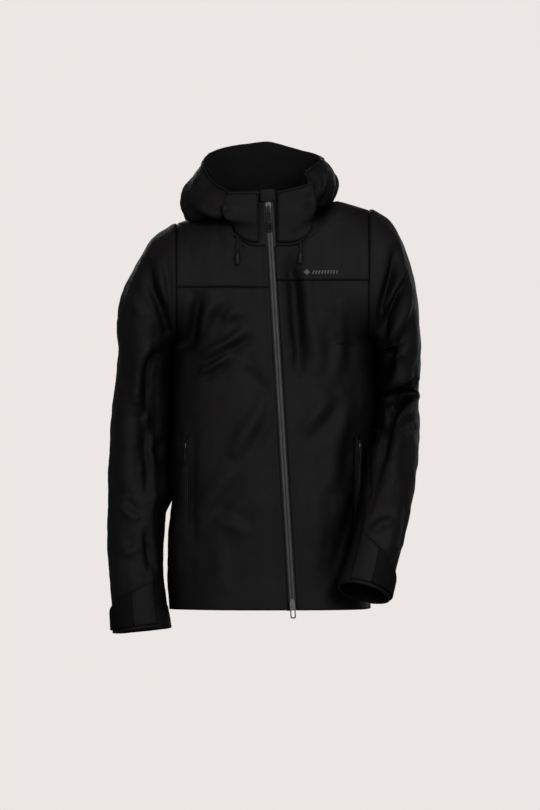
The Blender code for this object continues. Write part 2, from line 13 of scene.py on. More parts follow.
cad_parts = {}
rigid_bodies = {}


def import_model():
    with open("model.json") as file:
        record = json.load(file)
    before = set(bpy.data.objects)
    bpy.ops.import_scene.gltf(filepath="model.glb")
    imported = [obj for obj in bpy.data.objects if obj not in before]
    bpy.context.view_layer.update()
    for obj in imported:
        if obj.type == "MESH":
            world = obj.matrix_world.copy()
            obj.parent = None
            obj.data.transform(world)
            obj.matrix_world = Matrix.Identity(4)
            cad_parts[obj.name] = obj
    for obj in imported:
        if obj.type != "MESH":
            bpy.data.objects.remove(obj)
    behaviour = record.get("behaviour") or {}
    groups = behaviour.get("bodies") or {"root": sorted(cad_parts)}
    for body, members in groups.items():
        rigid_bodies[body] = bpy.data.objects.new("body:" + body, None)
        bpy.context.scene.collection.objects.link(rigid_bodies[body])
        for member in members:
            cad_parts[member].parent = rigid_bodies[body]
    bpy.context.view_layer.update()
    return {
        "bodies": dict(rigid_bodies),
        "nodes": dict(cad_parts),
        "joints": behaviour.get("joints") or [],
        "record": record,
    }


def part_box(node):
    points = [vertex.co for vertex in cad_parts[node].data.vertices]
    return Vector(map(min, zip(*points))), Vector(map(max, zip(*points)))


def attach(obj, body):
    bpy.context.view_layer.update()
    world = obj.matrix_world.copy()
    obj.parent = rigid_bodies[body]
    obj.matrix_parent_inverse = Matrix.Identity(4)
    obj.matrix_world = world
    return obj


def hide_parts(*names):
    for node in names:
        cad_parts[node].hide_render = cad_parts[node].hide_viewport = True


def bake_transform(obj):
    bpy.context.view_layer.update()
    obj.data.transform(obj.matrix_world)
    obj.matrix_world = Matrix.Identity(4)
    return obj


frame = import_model()
NODES = frame["nodes"]

# ---------------------------------------------------------------- sizes, from the frame
JOINTS = {joint["name"]: joint for joint in frame["joints"]}
SIDES = ((-1, "right"), (1, "left"))


def box_of(node):
    low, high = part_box(node)
    return np.array(low), np.array(high)


LEFT_SIDE, RIGHT_SIDE = box_of("side_panel_left"), box_of("side_panel_right")
HALF_WIDTH = (LEFT_SIDE[1][0] - RIGHT_SIDE[0][0]) / 2
HEM = box_of("front_panel_left")[0][2]
ARM_PIVOT = {name: np.array(JOINTS["shoulder_" + name]["pos_m"]) for _, name in SIDES}
ORIGIN = np.array([(LEFT_SIDE[1][0] + RIGHT_SIDE[0][0]) / 2, ARM_PIVOT["left"][1], HEM])
ARM_Z = ARM_PIVOT["left"][2] - HEM
ARM_GAP = ARM_PIVOT["left"][0] - ORIGIN[0] - HALF_WIDTH

# The shape of the level sections (depths at the hem and at the neck), and heights above the hem.
SQUARENESS = 2.6
FRONT_DEPTH = (0.134, 0.090)
BACK_DEPTH = (0.122, 0.062)
DEPTH_TOP_Z = 0.720
NECK_Z = 0.682
NECK_FRONT_Z = 0.620
NECK_HALF = 0.078
NECK_X = -0.008
ARM_RADIUS = 0.094
ARM_TOP_Z = ARM_Z + ARM_RADIUS
ARMPIT_Z = ARM_Z - ARM_RADIUS
YOKE_Z = {-1: 0.551, 1: 0.563}
BACK_YOKE_Z = 0.575
YOKE_LEVEL = 0.8  # the height level of the yoke seam, where 0 is the hem and 1 the neckline
ZIP_BOTTOM = np.array([0.034, -0.1342, 0.004])
ZIP_TOP = np.array([-0.008, -0.0920, 0.700])
ZIP_HALF = 0.0066


def mix(a, b, t):
    return a + (b - a) * t


def smooth(t):
    """Rises from 0 to 1 as t does, with no corner at either end."""
    t = np.clip(t, 0.0, 1.0)
    return t * t * (3 - 2 * t)


def unit(v):
    return v / np.maximum(np.linalg.norm(v, axis=-1, keepdims=True), 1e-12)


# ---------------------------------------------------------------- the torso surface (jacket frame)
def depth(z, back):
    front = mix(FRONT_DEPTH[0], FRONT_DEPTH[1], z / DEPTH_TOP_Z)
    rear = mix(BACK_DEPTH[0], BACK_DEPTH[1], smooth((z - 0.50) / (NECK_Z - 0.50)))
    return np.where(back, rear, front)


def armhole_depth(z):
    """Half the armhole ring's width at a height."""
    return np.sqrt(np.maximum(0.0, ARM_RADIUS**2 - (z - ARM_Z) ** 2))


def half_width(z, back):
    """Half the width of a level section: beside the armhole it just meets the ring."""
    ratio = armhole_depth(z) / depth(z, back)
    beside = HALF_WIDTH / (1 - ratio**SQUARENESS) ** (1 / SQUARENESS)
    above = mix(HALF_WIDTH, NECK_HALF, (z - ARM_TOP_Z) / (NECK_Z - ARM_TOP_Z))
    return np.where(z > ARM_TOP_Z, above, beside)


def middle(z):
    return NECK_X * smooth((z - ARM_TOP_Z) / (NECK_Z - ARM_TOP_Z))


# The shoulder line by distance from the middle: the CAD's height there, the height where lifting starts
# and how far each side is lifted.
SHOULDER_X = (0.078, 0.090, 0.105, 0.164, 0.192, 0.214, 0.236, 0.254)
SHOULDER_CREST = (0.680, 0.674, 0.665, 0.635, 0.610, 0.587, 0.542, 0.500)
SHOULDER_FOOT = (0.575, 0.575, 0.575, 0.570, 0.520, 0.470, 0.440, 0.420)
SHOULDER_RISE = {
    -1: (0.0, 0.002, 0.008, 0.020, 0.018, 0.018, 0.006, 0.0),
    1: (0.0, 0.018, 0.034, 0.042, 0.051, 0.053, 0.033, 0.0),
}


def along_shoulder(x, values):
    """Looks a shoulder measure up at a distance from the middle, with its corners rounded off."""
    steps = (-0.010, -0.005, 0.0, 0.005, 0.010)
    return sum(np.interp(x + step, SHOULDER_X, values) for step in steps) / len(steps)


def squarer_shoulders(points):
    """Lifts the shoulder line, where the cloth stands over the wearer's shoulders."""
    x, z = np.abs(points[..., 0]), points[..., 2]
    heights = {side: along_shoulder(x, SHOULDER_RISE[side]) for side in SHOULDER_RISE}
    rise = np.where(points[..., 0] > 0, heights[1], heights[-1])
    low, high = (along_shoulder(x, values) for values in (SHOULDER_FOOT, SHOULDER_CREST))
    lifted = z + rise * smooth((z - low) / (high - low))
    return np.stack([points[..., 0], points[..., 1], lifted], axis=-1)


def torso(turn, z, back=None):
    """Points on the shell at a turn (0 front, 90 degrees wearer's left, 180 back) and a height."""
    sine, cosine = np.sin(turn), np.cos(turn)
    back = (cosine < 0) if back is None else back
    reach = (np.abs(sine) ** SQUARENESS + np.abs(cosine) ** SQUARENESS) ** (-1 / SQUARENESS)
    x = middle(z) + half_width(z, back) * reach * sine
    y = -depth(z, back) * reach * cosine
    return squarer_shoulders(np.stack([x, y, z + 0 * x], axis=-1))


def side_edge(z, back):
    """The turn where a sheet ends: the side line, or the armhole beside it."""
    across = np.minimum(HALF_WIDTH / half_width(z, back), 1.0)
    turn = np.arctan2(across, armhole_depth(z) / depth(z, back))
    inside = (z > ARMPIT_Z) & (z < ARM_TOP_Z)
    turn = np.where(inside, turn, math.pi / 2)
    return np.where(back, math.pi - turn, turn)


def zip_x(z):
    return mix(ZIP_BOTTOM[0], ZIP_TOP[0], (z - ZIP_BOTTOM[2]) / (ZIP_TOP[2] - ZIP_BOTTOM[2]))


def turn_at(x, z):
    """The turn at which the front of the torso has a given x."""
    across = (x - middle(z)) / half_width(z, np.array(False))
    return np.arctan2(across, (1 - np.abs(across) ** SQUARENESS) ** (1 / SQUARENESS))


def neckline(turn):
    """The height of the neck seam, which dips in front."""
    away = np.abs(np.arctan2(np.sin(turn), np.cos(turn)))
    return mix(NECK_FRONT_Z, NECK_Z, smooth((away - math.radians(9)) / math.radians(34)))


def front_turn(side, out, z):
    """The turn at a share of the way out from the zip to the side line or armhole."""
    start = turn_at(zip_x(z) + side * ZIP_HALF, z)
    return mix(start, side * side_edge(z, np.array(False)), out)


def front_sheet(side, out, rise):
    """The front at a share of the way out from the zip and a height level (0 hem to 1 neckline)."""
    low = rise / YOKE_LEVEL * YOKE_Z[side]
    top = np.full_like(out, NECK_FRONT_Z)
    for _ in range(14):
        top = mix(top, neckline(front_turn(side, out, top)), 0.6)
    high = mix(YOKE_Z[side], top, (rise - YOKE_LEVEL) / (1 - YOKE_LEVEL))
    z = np.where(rise < YOKE_LEVEL, low, high)
    return torso(front_turn(side, out, z), z, np.array(False))


def back_sheet(out, rise):
    """The back from the wearer's left side line round to the right, and from hem to neckline."""
    low = rise / YOKE_LEVEL * BACK_YOKE_Z
    high = mix(BACK_YOKE_Z, NECK_Z, (rise - YOKE_LEVEL) / (1 - YOKE_LEVEL))
    z = np.where(rise < YOKE_LEVEL, low, high)
    edge = side_edge(z, np.array(True))
    return torso(mix(edge, 2 * math.pi - edge, out), z, np.array(True))


# ---------------------------------------------------------------- collar, hood and sleeve surfaces
COLLAR_EDGE_Z = 0.715
COLLAR_HALF = 0.070
COLLAR_BACK = 0.056
# The hood's sections from base to rim, as (distance out from the neckline, height).
HOOD_FRONT = ((0.004, 0.688), (0.006, 0.677), (0.007, 0.681), (0.006, 0.694), (0.004, 0.712))
HOOD_SIDE_RIGHT = ((0.006, 0.690), (0.056, 0.665), (0.067, 0.703), (0.052, 0.738), (0.032, 0.764))
HOOD_SIDE_LEFT = ((0.006, 0.690), (0.024, 0.694), (0.038, 0.728), (0.030, 0.755), (0.015, 0.772))
HOOD_BACK = ((0.018, 0.690), (0.070, 0.655), (0.085, 0.705), (0.062, 0.770), (0.030, 0.800))
HOOD_LEAN = 0.05
HOOD_TURNS = (2.2, 118, 242, 353)  # the front end, the two panel seams and the other front end, in degrees
RIM_PEAK = math.radians(228)
RIM_RISE = 0.014


def ring(turn):
    """A rounded square section as (across, ahead) for a turn."""
    sine, cosine = np.sin(turn), np.cos(turn)
    reach = (np.abs(sine) ** SQUARENESS + np.abs(cosine) ** SQUARENESS) ** (-1 / SQUARENESS)
    return reach * sine, reach * cosine


def collar_surface(u, v):
    """The collar from one side of the zip round to the other (u), and from neckline to top edge (v)."""
    low, high = NECK_FRONT_Z, COLLAR_EDGE_Z

    def top_turn(x):
        across = (x - NECK_X) / COLLAR_HALF
        return math.atan2(across, (1 - abs(across) ** SQUARENESS) ** (1 / SQUARENESS))

    start = mix(turn_at(zip_x(low) + ZIP_HALF, low), top_turn(zip_x(high) + ZIP_HALF), v)
    end = mix(turn_at(zip_x(low) - ZIP_HALF, low), top_turn(zip_x(high) - ZIP_HALF), v)
    turn = mix(start, 2 * math.pi + end, u)
    across, ahead = ring(turn)
    front_deep, back_deep = float(depth(np.array(high), np.array(False))), COLLAR_BACK
    deep = np.where(ahead > 0, front_deep, back_deep)
    top = np.stack([NECK_X + COLLAR_HALF * across, -deep * ahead, np.full_like(across, high)], axis=-1)
    base = torso(turn, neckline(turn))
    return mix(base, top, v[..., None])


def catmull(a, b, c, d, t):
    """A smooth curve through b and c, a share t of the way, with a and d as its neighbours."""
    return b + 0.5 * t * (c - a + t * (2 * a - 5 * b + 4 * c - d + t * (3 * (b - c) + d - a)))


def hood_surface(turn, v):
    """The lowered hood at a turn, from its base (v 0) round the roll and up to the rim (v 1)."""
    sine, cosine = np.sin(turn), np.cos(turn)
    knots = []
    sideways = (np.abs(sine) ** 1.3)[..., None]
    pulled_wide = (sine < 0) & (cosine > 0)
    upright = (np.abs(sine) ** np.where(pulled_wide, mix(1.3, 6.0, v**2), 1.3))[..., None]
    for k in range(len(HOOD_FRONT)):
        side = np.where(sine[..., None] < 0, HOOD_SIDE_RIGHT[k], HOOD_SIDE_LEFT[k])
        ends = np.where(cosine[..., None] > 0, HOOD_FRONT[k], HOOD_BACK[k])
        knots.append(mix(ends, side, np.concatenate([sideways, upright], axis=-1)))
    last = len(knots) - 1
    knots = np.stack(knots)
    place = np.clip(v * last, 0, last - 1e-4)
    k = place.astype(int)
    t = (place - k)[..., None]
    pick = lambda i: np.take_along_axis(knots, np.clip(i, 0, last)[None, ..., None], axis=0)[0]
    spot = catmull(pick(k - 1), pick(k), pick(k + 1), pick(k + 2), t)
    base = torso(turn, neckline(turn))
    away = np.arctan2(np.sin(turn - RIM_PEAK), np.cos(turn - RIM_PEAK))
    rise = spot[..., 1] + (neckline(turn) - NECK_Z) * (1 - v) ** 5
    rise = rise + RIM_RISE * v**4 * np.exp(-((away / 0.7) ** 2))
    x = base[..., 0] + sine * spot[..., 0]
    y = base[..., 1] - cosine * spot[..., 0]
    y = y + HOOD_LEAN * (rise - NECK_FRONT_Z) * np.maximum(cosine, 0) ** 2
    return np.stack([x, y, rise], axis=-1)


# The first rings of a sleeve fan out from the armhole, tilted by CAP_TILTS. SLEEVE has, for each side, the
# width and the curve of that fan, and then keys of (x, y, z, half width, half depth) down the arm.
CAP_TILTS = (0, 14, 30, 48, 68, 90)
HEAD_RINGS = len(CAP_TILTS) - 1
SLEEVE = {
    -1: (0.088, 1.6, (
        (0.2195, 0.0, 0.438, 0.0440, 0.080),
        (0.2238, 0.004, 0.360, 0.0490, 0.071),
        (0.2285, 0.008, 0.270, 0.0515, 0.065),
        (0.2313, 0.0, 0.187, 0.0508, 0.060),
        (0.2345, -0.014, 0.085, 0.0475, 0.052),
        (0.2290, -0.022, 0.017, 0.0470, 0.048),
        (0.2235, -0.026, -0.037, 0.0495, 0.046),
    )),
    1: (0.078, 1.9, (
        (0.2145, 0.0, 0.438, 0.0390, 0.080),
        (0.2130, 0.026, 0.400, 0.0400, 0.074),
        (0.2105, 0.042, 0.345, 0.0410, 0.066),
        (0.2080, -0.035, 0.270, 0.0430, 0.059),
        (0.1900, -0.107, 0.165, 0.0430, 0.051),
        (0.1680, -0.147, 0.080, 0.0430, 0.048),
        (0.1540, -0.165, 0.030, 0.0450, 0.046),
    )),
}
LAST_RING = len(CAP_TILTS) + len(SLEEVE[1][2]) - 2
CUFF_RING = LAST_RING - 1.0
ELBOW_RING = 7


def sleeve_rings(side):
    """Rings down a sleeve as arrays: centre, across, forward, half width and half depth."""
    narrow, power, keys = SLEEVE[side]
    centres, acrosses, forwards, sizes = [], [], [], []
    for degrees in CAP_TILTS:
        share, tilt = degrees / 90, math.radians(degrees)
        root = side * (HALF_WIDTH + ARM_GAP + 0.004 * share)
        armpit = np.array([root, 0, ARM_Z - ARM_RADIUS - 0.014 * share])
        across = np.array([side * math.sin(tilt), 0, math.cos(tilt)])
        wide = narrow + (2 * ARM_RADIUS - narrow) * (1 - share) ** power
        centres.append(armpit + across * wide / 2)
        acrosses.append(across)
        forwards.append(np.array([0, -1.0, 0]))
        sizes.append((wide / 2, mix(keys[0][4], ARM_RADIUS, (1 - share) ** 1.2)))
    places = [centres[-1]] + [np.array([side * k[0], k[1], k[2]]) for k in keys[1:]]
    for i in range(1, len(keys)):
        run = unit(places[min(i + 1, len(keys) - 1)] - places[i - 1])
        outward = np.array([side, 0.0, 0.0])
        across = unit(outward - run * run.dot(outward))
        centres.append(places[i])
        acrosses.append(across)
        forwards.append(np.cross(run, across) * side)
        sizes.append(keys[i][3:5])
    return [np.array(a) for a in (centres, acrosses, forwards, sizes)]


def along_rings(values, place):
    """Values between rings, on a smooth curve through them."""
    last = len(values) - 1
    place = np.clip(place, 0, last - 1e-4)
    k = place.astype(int)
    pick = lambda i: values[np.clip(i, 0, last)]
    return catmull(pick(k - 1), pick(k), pick(k + 1), pick(k + 2), (place - k)[..., None])


def sleeve_tube(side, turn, place):
    """A sleeve point at a turn (0 outside, a quarter turn front) and a ring number."""
    centre, across, forward, size = (along_rings(v, place) for v in sleeve_rings(side))
    flat = np.stack([np.cos(turn), np.sin(turn)], axis=-1) * size
    return centre + unit(across) * flat[..., :1] + unit(forward) * flat[..., 1:]


def sleeve_surface(side, turn, place):
    """The sleeve with its top lifted as the torso's shoulder line is."""
    return squarer_shoulders(sleeve_tube(side, turn, place))


# ---------------------------------------------------------------- meshes
def grid(columns, rows):
    """Two arrays of shares from 0 to 1, along the columns and along the rows."""
    return np.meshgrid(np.linspace(0, 1, columns + 1), np.linspace(0, 1, rows + 1), indexing="ij")


def grid_normals(points, wrap=False):
    if wrap:
        padded = np.concatenate([points[-2:-1], points, points[1:2]])
        across = padded[2:] - padded[:-2]
    else:
        across = np.gradient(points, axis=0)
    return unit(np.cross(across, np.gradient(points, axis=1)))


def lengths(points, axis):
    """Distances run along an axis of a grid of points."""
    steps = np.linalg.norm(np.diff(points, axis=axis), axis=-1)
    start = np.zeros_like(np.take(steps, [0], axis=axis))
    return np.concatenate([start, np.cumsum(steps, axis=axis)], axis=axis)


def new_object(name, points, faces, material, smooth_shading=True):
    mesh = bpy.data.meshes.new(name)
    mesh.from_pydata([tuple(p) for p in np.asarray(points) + ORIGIN], [], faces)
    mesh.materials.append(material)
    if smooth_shading:
        mesh.shade_smooth()
    obj = bpy.data.objects.new(name, mesh)
    bpy.context.scene.collection.objects.link(obj)
    return obj


def grid_object(name, points, material, thick=0.0012, wrap=False, lining=None):
    """A cloth sheet from a grid of points whose normals face out, thickened inwards.
    UVs are in metres along the cloth."""
    columns, rows = points.shape[0] - 1, points.shape[1] - 1
    around, tall = (columns if wrap else columns + 1), rows + 1
    faces = []
    for i in range(columns):
        for j in range(rows):
            a, b = i * tall + j, (i + 1) % around * tall + j
            faces.append((a, b, b + 1, a + 1))
    obj = new_object(name, points[:around].reshape(-1, 3), faces, material)
    across = np.median(lengths(points, 0), axis=1)
    along = np.median(lengths(points, 1), axis=0)
    layer = obj.data.uv_layers.new(name="cloth")
    corners = []
    for i in range(columns):
        for j in range(rows):
            corners += [(across[i], along[j]), (across[i + 1], along[j])]
            corners += [(across[i + 1], along[j + 1]), (across[i], along[j + 1])]
    layer.data.foreach_set("uv", np.array(corners, np.float32).ravel())
    if thick:
        if lining:
            obj.data.materials.append(lining)
        solid = obj.modifiers.new("cloth_thickness", "SOLIDIFY")
        solid.thickness = thick
        solid.offset = -1
        solid.material_offset = 1 if lining else 0
        solid.use_even_offset = False
    return obj


def subdivide(obj):
    """Rounds a sheet's turned edges with one level of subdivision."""
    smoothing = obj.modifiers.new("smoothing", "SUBSURF")
    smoothing.levels = smoothing.render_levels = 1


def field(points, stretch, shift, octaves=3):
    """Smooth noise from about -1 to 1. Its features have the size of stretch, in metres along each axis."""
    flat = points.reshape(-1, 3) / np.array(stretch) + shift
    values = [noise.fractal(Vector(p), 0.9, 2.1, octaves) for p in flat]
    return np.array(values).reshape(points.shape[:-1])


def rumple(points, waves):
    """Layers of noise added up, each as (height, stretch, shift, octaves)."""
    return sum(height * field(points, *layer) for height, *layer in waves)


def bell(distance, width):
    """1 at distance 0, falling away smoothly over the width."""
    return np.exp(-((distance / width) ** 2))


def fold_profile(distance, width, height):
    """A crest with a narrower valley on its far side, or a plain valley where the height is negative."""
    if height < 0:
        return bell(distance, width)
    return bell(distance, width) - 0.55 * bell(distance - 1.7 * width, 0.8 * width)


def stroke(x, z, path, width, height):
    """A fold along a path of (x, z) points, tapering at both ends."""
    path = np.array(path, float)
    best = np.full(x.shape, 1e9)
    signed, share = np.zeros(x.shape), np.zeros(x.shape)
    total = len(path) - 1
    for k in range(total):
        a, run = path[k], path[k + 1] - path[k]
        t = np.clip(((x - a[0]) * run[0] + (z - a[1]) * run[1]) / (run @ run), 0, 1)
        dx, dz = x - a[0] - t * run[0], z - a[1] - t * run[1]
        away = np.hypot(dx, dz)
        near = away < best
        best = np.where(near, away, best)
        side = np.sign(run[0] * dz - run[1] * dx)
        signed = np.where(near, away * side, signed)
        share = np.where(near, (k + t) / total, share)
    taper = np.sin(np.pi * np.clip(share, 0.0, 1.0)) ** 0.6
    ends = bell(np.maximum(best - np.abs(signed), 0), width)
    return height * taper * ends * fold_profile(signed, width, height)


# ---------------------------------------------------------------- materials
class Nodes:
    """A small helper for building a material's node tree."""

    def __init__(self, name):
        self.material = bpy.data.materials.new(name)
        self.material.use_nodes = True
        self.tree = self.material.node_tree
        self.shader = self.tree.nodes["Principled BSDF"]

    def add(self, kind, **settings):
        node = self.tree.nodes.new(kind)
        for key, value in settings.items():
            if key in node.inputs:
                node.inputs[key].default_value = value
            else:
                setattr(node, key.lower(), value)
        return node

    def link(self, source, target):
        self.tree.links.new(source, target)

    def math(self, operation, a, b=0.0, c=0.0):
        node = self.tree.nodes.new("ShaderNodeMath")
        node.operation = operation
        for socket, value in zip(node.inputs, (a, b, c)):
            if hasattr(value, "is_output"):
                self.link(value, socket)
            else:
                socket.default_value = value
        return node.outputs[0]

    def ramp(self, source, low, high, colour_low, colour_high):
        node = self.tree.nodes.new("ShaderNodeValToRGB")
        node.color_ramp.elements[0].position = low
        node.color_ramp.elements[1].position = high
        node.color_ramp.elements[0].color = (*colour_low, 1)
        node.color_ramp.elements[1].color = (*colour_high, 1)
        self.link(source, node.inputs[0])
        return node.outputs[0]

    def bump(self, height, distance, strength, onto=None):
        node = self.tree.nodes.new("ShaderNodeBump")
        node.inputs["Strength"].default_value = strength
        node.inputs["Distance"].default_value = distance
        self.link(height, node.inputs["Height"])
        if onto:
            self.link(onto, node.inputs["Normal"])
        return node.outputs[0]

    def paint_shade(self, colour, reach, floor):
        """Paints shade into a colour: darkens it in creases and between pieces, down to a floor."""
        shade = self.tree.nodes.new("ShaderNodeAmbientOcclusion")
        shade.samples = 6
        shade.inputs["Distance"].default_value = reach
        unshaded_share = self.math("MAXIMUM", self.math("POWER", shade.outputs["AO"], 2.6), floor)
        scaled = self.tree.nodes.new("ShaderNodeVectorMath")
        scaled.operation = "SCALE"
        self.link(colour, scaled.inputs[0])
        self.link(unshaded_share, scaled.inputs["Scale"])
        return scaled.outputs[0]


# How far the painted shade in the cloth's colour reaches, and how dark it may get.
SHADE_REACH = 0.11
SHADE_FLOOR = 0.03
CLOTH_GLOSS = 0.09


def woven(name, dark, light, roughness, pitch=0.0007, sheen=0.12, crinkle=0.0006):
    """A plain weave from the sheet's UVs in metres, with cloudy colour, painted shade in creases and between
    pieces, faint crinkles and a sheen.
    """
    nodes = Nodes(name)
    uv = nodes.add("ShaderNodeUVMap")
    uv.uv_map = "cloth"
    split = nodes.add("ShaderNodeSeparateXYZ")
    nodes.link(uv.outputs[0], split.inputs[0])
    turns = 2 * math.pi / pitch
    warp = nodes.math("SINE", nodes.math("MULTIPLY", split.outputs[0], turns))
    weft = nodes.math("SINE", nodes.math("MULTIPLY", split.outputs[1], turns))
    weave = nodes.math("MULTIPLY", warp, weft)
    place = nodes.add("ShaderNodeTexCoord")
    cloud = nodes.add("ShaderNodeTexNoise", Scale=9.0, Detail=4.0, Roughness=0.6)
    nodes.link(place.outputs["Object"], cloud.inputs["Vector"])
    fine = nodes.add("ShaderNodeTexNoise", Scale=70.0, Detail=5.0, Roughness=0.55)
    nodes.link(place.outputs["Object"], fine.inputs["Vector"])
    shade = nodes.math("MULTIPLY_ADD", weave, 0.10, cloud.outputs["Fac"])
    colour = nodes.ramp(shade, 0.30, 0.75, dark, light)
    # Painted shade: the cloth's colour is darkened in creases and where pieces lie close together.
    nodes.link(nodes.paint_shade(colour, SHADE_REACH, SHADE_FLOOR), nodes.shader.inputs["Base Color"])
    rough = nodes.math("MULTIPLY_ADD", fine.outputs["Fac"], 0.16, roughness - 0.08)
    nodes.link(rough, nodes.shader.inputs["Roughness"])
    crinkled = nodes.bump(fine.outputs["Fac"], crinkle, 0.6)
    nodes.link(nodes.bump(weave, 0.00006, 0.7, crinkled), nodes.shader.inputs["Normal"])
    nodes.shader.inputs["Sheen Weight"].default_value = sheen
    nodes.shader.inputs["Sheen Roughness"].default_value = 0.45
    nodes.shader.inputs["Specular IOR Level"].default_value = CLOTH_GLOSS
    return nodes.material


def moulded(name, dark, light, roughness, metallic=0.0, grain=900.0, depth_m=0.00008, gloss=0.15):
    """Moulded rubber or enamelled metal: slight mottling, fine grain and uneven gloss."""
    nodes = Nodes(name)
    place = nodes.add("ShaderNodeTexCoord")
    fine = nodes.add("ShaderNodeTexNoise", Scale=grain, Detail=3.0)
    broad = nodes.add("ShaderNodeTexNoise", Scale=60.0, Detail=4.0)
    for texture in (fine, broad):
        nodes.link(place.outputs["Object"], texture.inputs["Vector"])
    colour = nodes.ramp(broad.outputs["Fac"], 0.35, 0.7, dark, light)
    nodes.link(colour, nodes.shader.inputs["Base Color"])
    rough = nodes.math("MULTIPLY_ADD", broad.outputs["Fac"], 0.2, roughness - 0.1)
    nodes.link(rough, nodes.shader.inputs["Roughness"])
    nodes.link(nodes.bump(fine.outputs["Fac"], depth_m, 0.6), nodes.shader.inputs["Normal"])
    nodes.shader.inputs["Metallic"].default_value = metallic
    nodes.shader.inputs["Specular IOR Level"].default_value = gloss
    return nodes.material


# Each material has its dark and light colour first, then its roughness.
SHELL = woven("shell_cloth", (0.0050, 0.0042, 0.0049), (0.0076, 0.0065, 0.0074), 0.60, 0.0007, 0.0)
LINING = woven("lining_cloth", (0.0030, 0.0029, 0.0032), (0.0052, 0.0050, 0.0055), 0.9, 0.0011, 0.0, 0.0002)
LABEL = woven("plain_label", (0.30, 0.30, 0.30), (0.42, 0.42, 0.41), 0.7, 0.0006, 0.1, 0.0001)
CORD = woven("braided_cord", (0.0040, 0.0040, 0.0044), (0.0085, 0.0085, 0.0090), 0.7, 0.0008, 0.1, 0.0004)
LAMINATE = moulded("zip_laminate", (0.034, 0.034, 0.036), (0.048, 0.047, 0.050), 0.45)
MARK = moulded("chest_mark_print", (0.075, 0.075, 0.078), (0.10, 0.10, 0.104), 0.4)
RUBBER = moulded("black_rubber", (0.0030, 0.0030, 0.0033), (0.0055, 0.0055, 0.0058), 0.55)
THREAD = moulded("thread", (0.0060, 0.0055, 0.0060), (0.0100, 0.0095, 0.0100), 0.8, 0.0, 2500.0, 0.00003)
METAL = moulded(
    "gunmetal", (0.055, 0.055, 0.058), (0.105, 0.105, 0.110), 0.36,
    metallic=0.85, grain=1500.0, depth_m=0.00002, gloss=0.3,
)
TAB_RUBBER = moulded(
    "tab_rubber", (0.0030, 0.0026, 0.0030), (0.0046, 0.0040, 0.0046), 0.75,
    grain=700.0, depth_m=0.00012, gloss=0.06,
)


# ---------------------------------------------------------------- stitches
STITCH_RUNS = []


def stitch(points, normals, body, pitch=0.0032, length=0.0022, width=0.00032):
    """Notes a line of stitches along a path of points."""
    STITCH_RUNS.append((np.array(points), np.array(normals), body, pitch, length, width))


def build_stitches():
    """One mesh of small thread loops for each body."""
    by_body = {}
    for points, normals, body, pitch, length, width in STITCH_RUNS:
        steps = np.linalg.norm(np.diff(points, axis=0), axis=1)
        reach = np.concatenate([[0], np.cumsum(steps)])
        if reach[-1] < pitch:
            continue
        starts = np.arange(pitch / 2, reach[-1] - length, pitch)
        at = lambda s: np.stack([np.interp(s, reach, points[:, a]) for a in range(3)], axis=-1)
        up = np.stack([np.interp(starts, reach, normals[:, a]) for a in range(3)], axis=-1)
        head, tail = at(starts), at(starts + length)
        run = unit(tail - head)
        up = unit(up)
        side = np.cross(run, up) * width
        centre = (head + tail) / 2 + up * width * 0.9
        rows = [head, centre + side, tail, centre - side, centre + up * width * 0.5]
        by_body.setdefault(body, []).append(np.stack(rows, axis=1).reshape(-1, 3))
    for body, parts in by_body.items():
        points = np.concatenate(parts)
        faces = []
        for k in range(0, len(points), 5):
            faces += [(k, k + 1, k + 4), (k + 1, k + 2, k + 4), (k + 2, k + 3, k + 4), (k + 3, k, k + 4)]
            faces += [(k, k + 3, k + 2, k + 1)]
        obj = new_object("stitching_" + body, points, faces, THREAD, False)
        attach(obj, body)


# ---------------------------------------------------------------- folds of the torso
# Noise over the torso, from broad swells to fine crumples, as (height, stretch, shift, octaves).
TORSO_WAVES = (
    (0.0032, (0.085, 0.11, 0.21), 4.2, 3),
    (0.0013, (0.030, 0.05, 0.055), 9.7, 3),
    (0.0005, (0.012, 0.02, 0.018), 1.3, 2),
)
FOLD_STRENGTH = 1.35
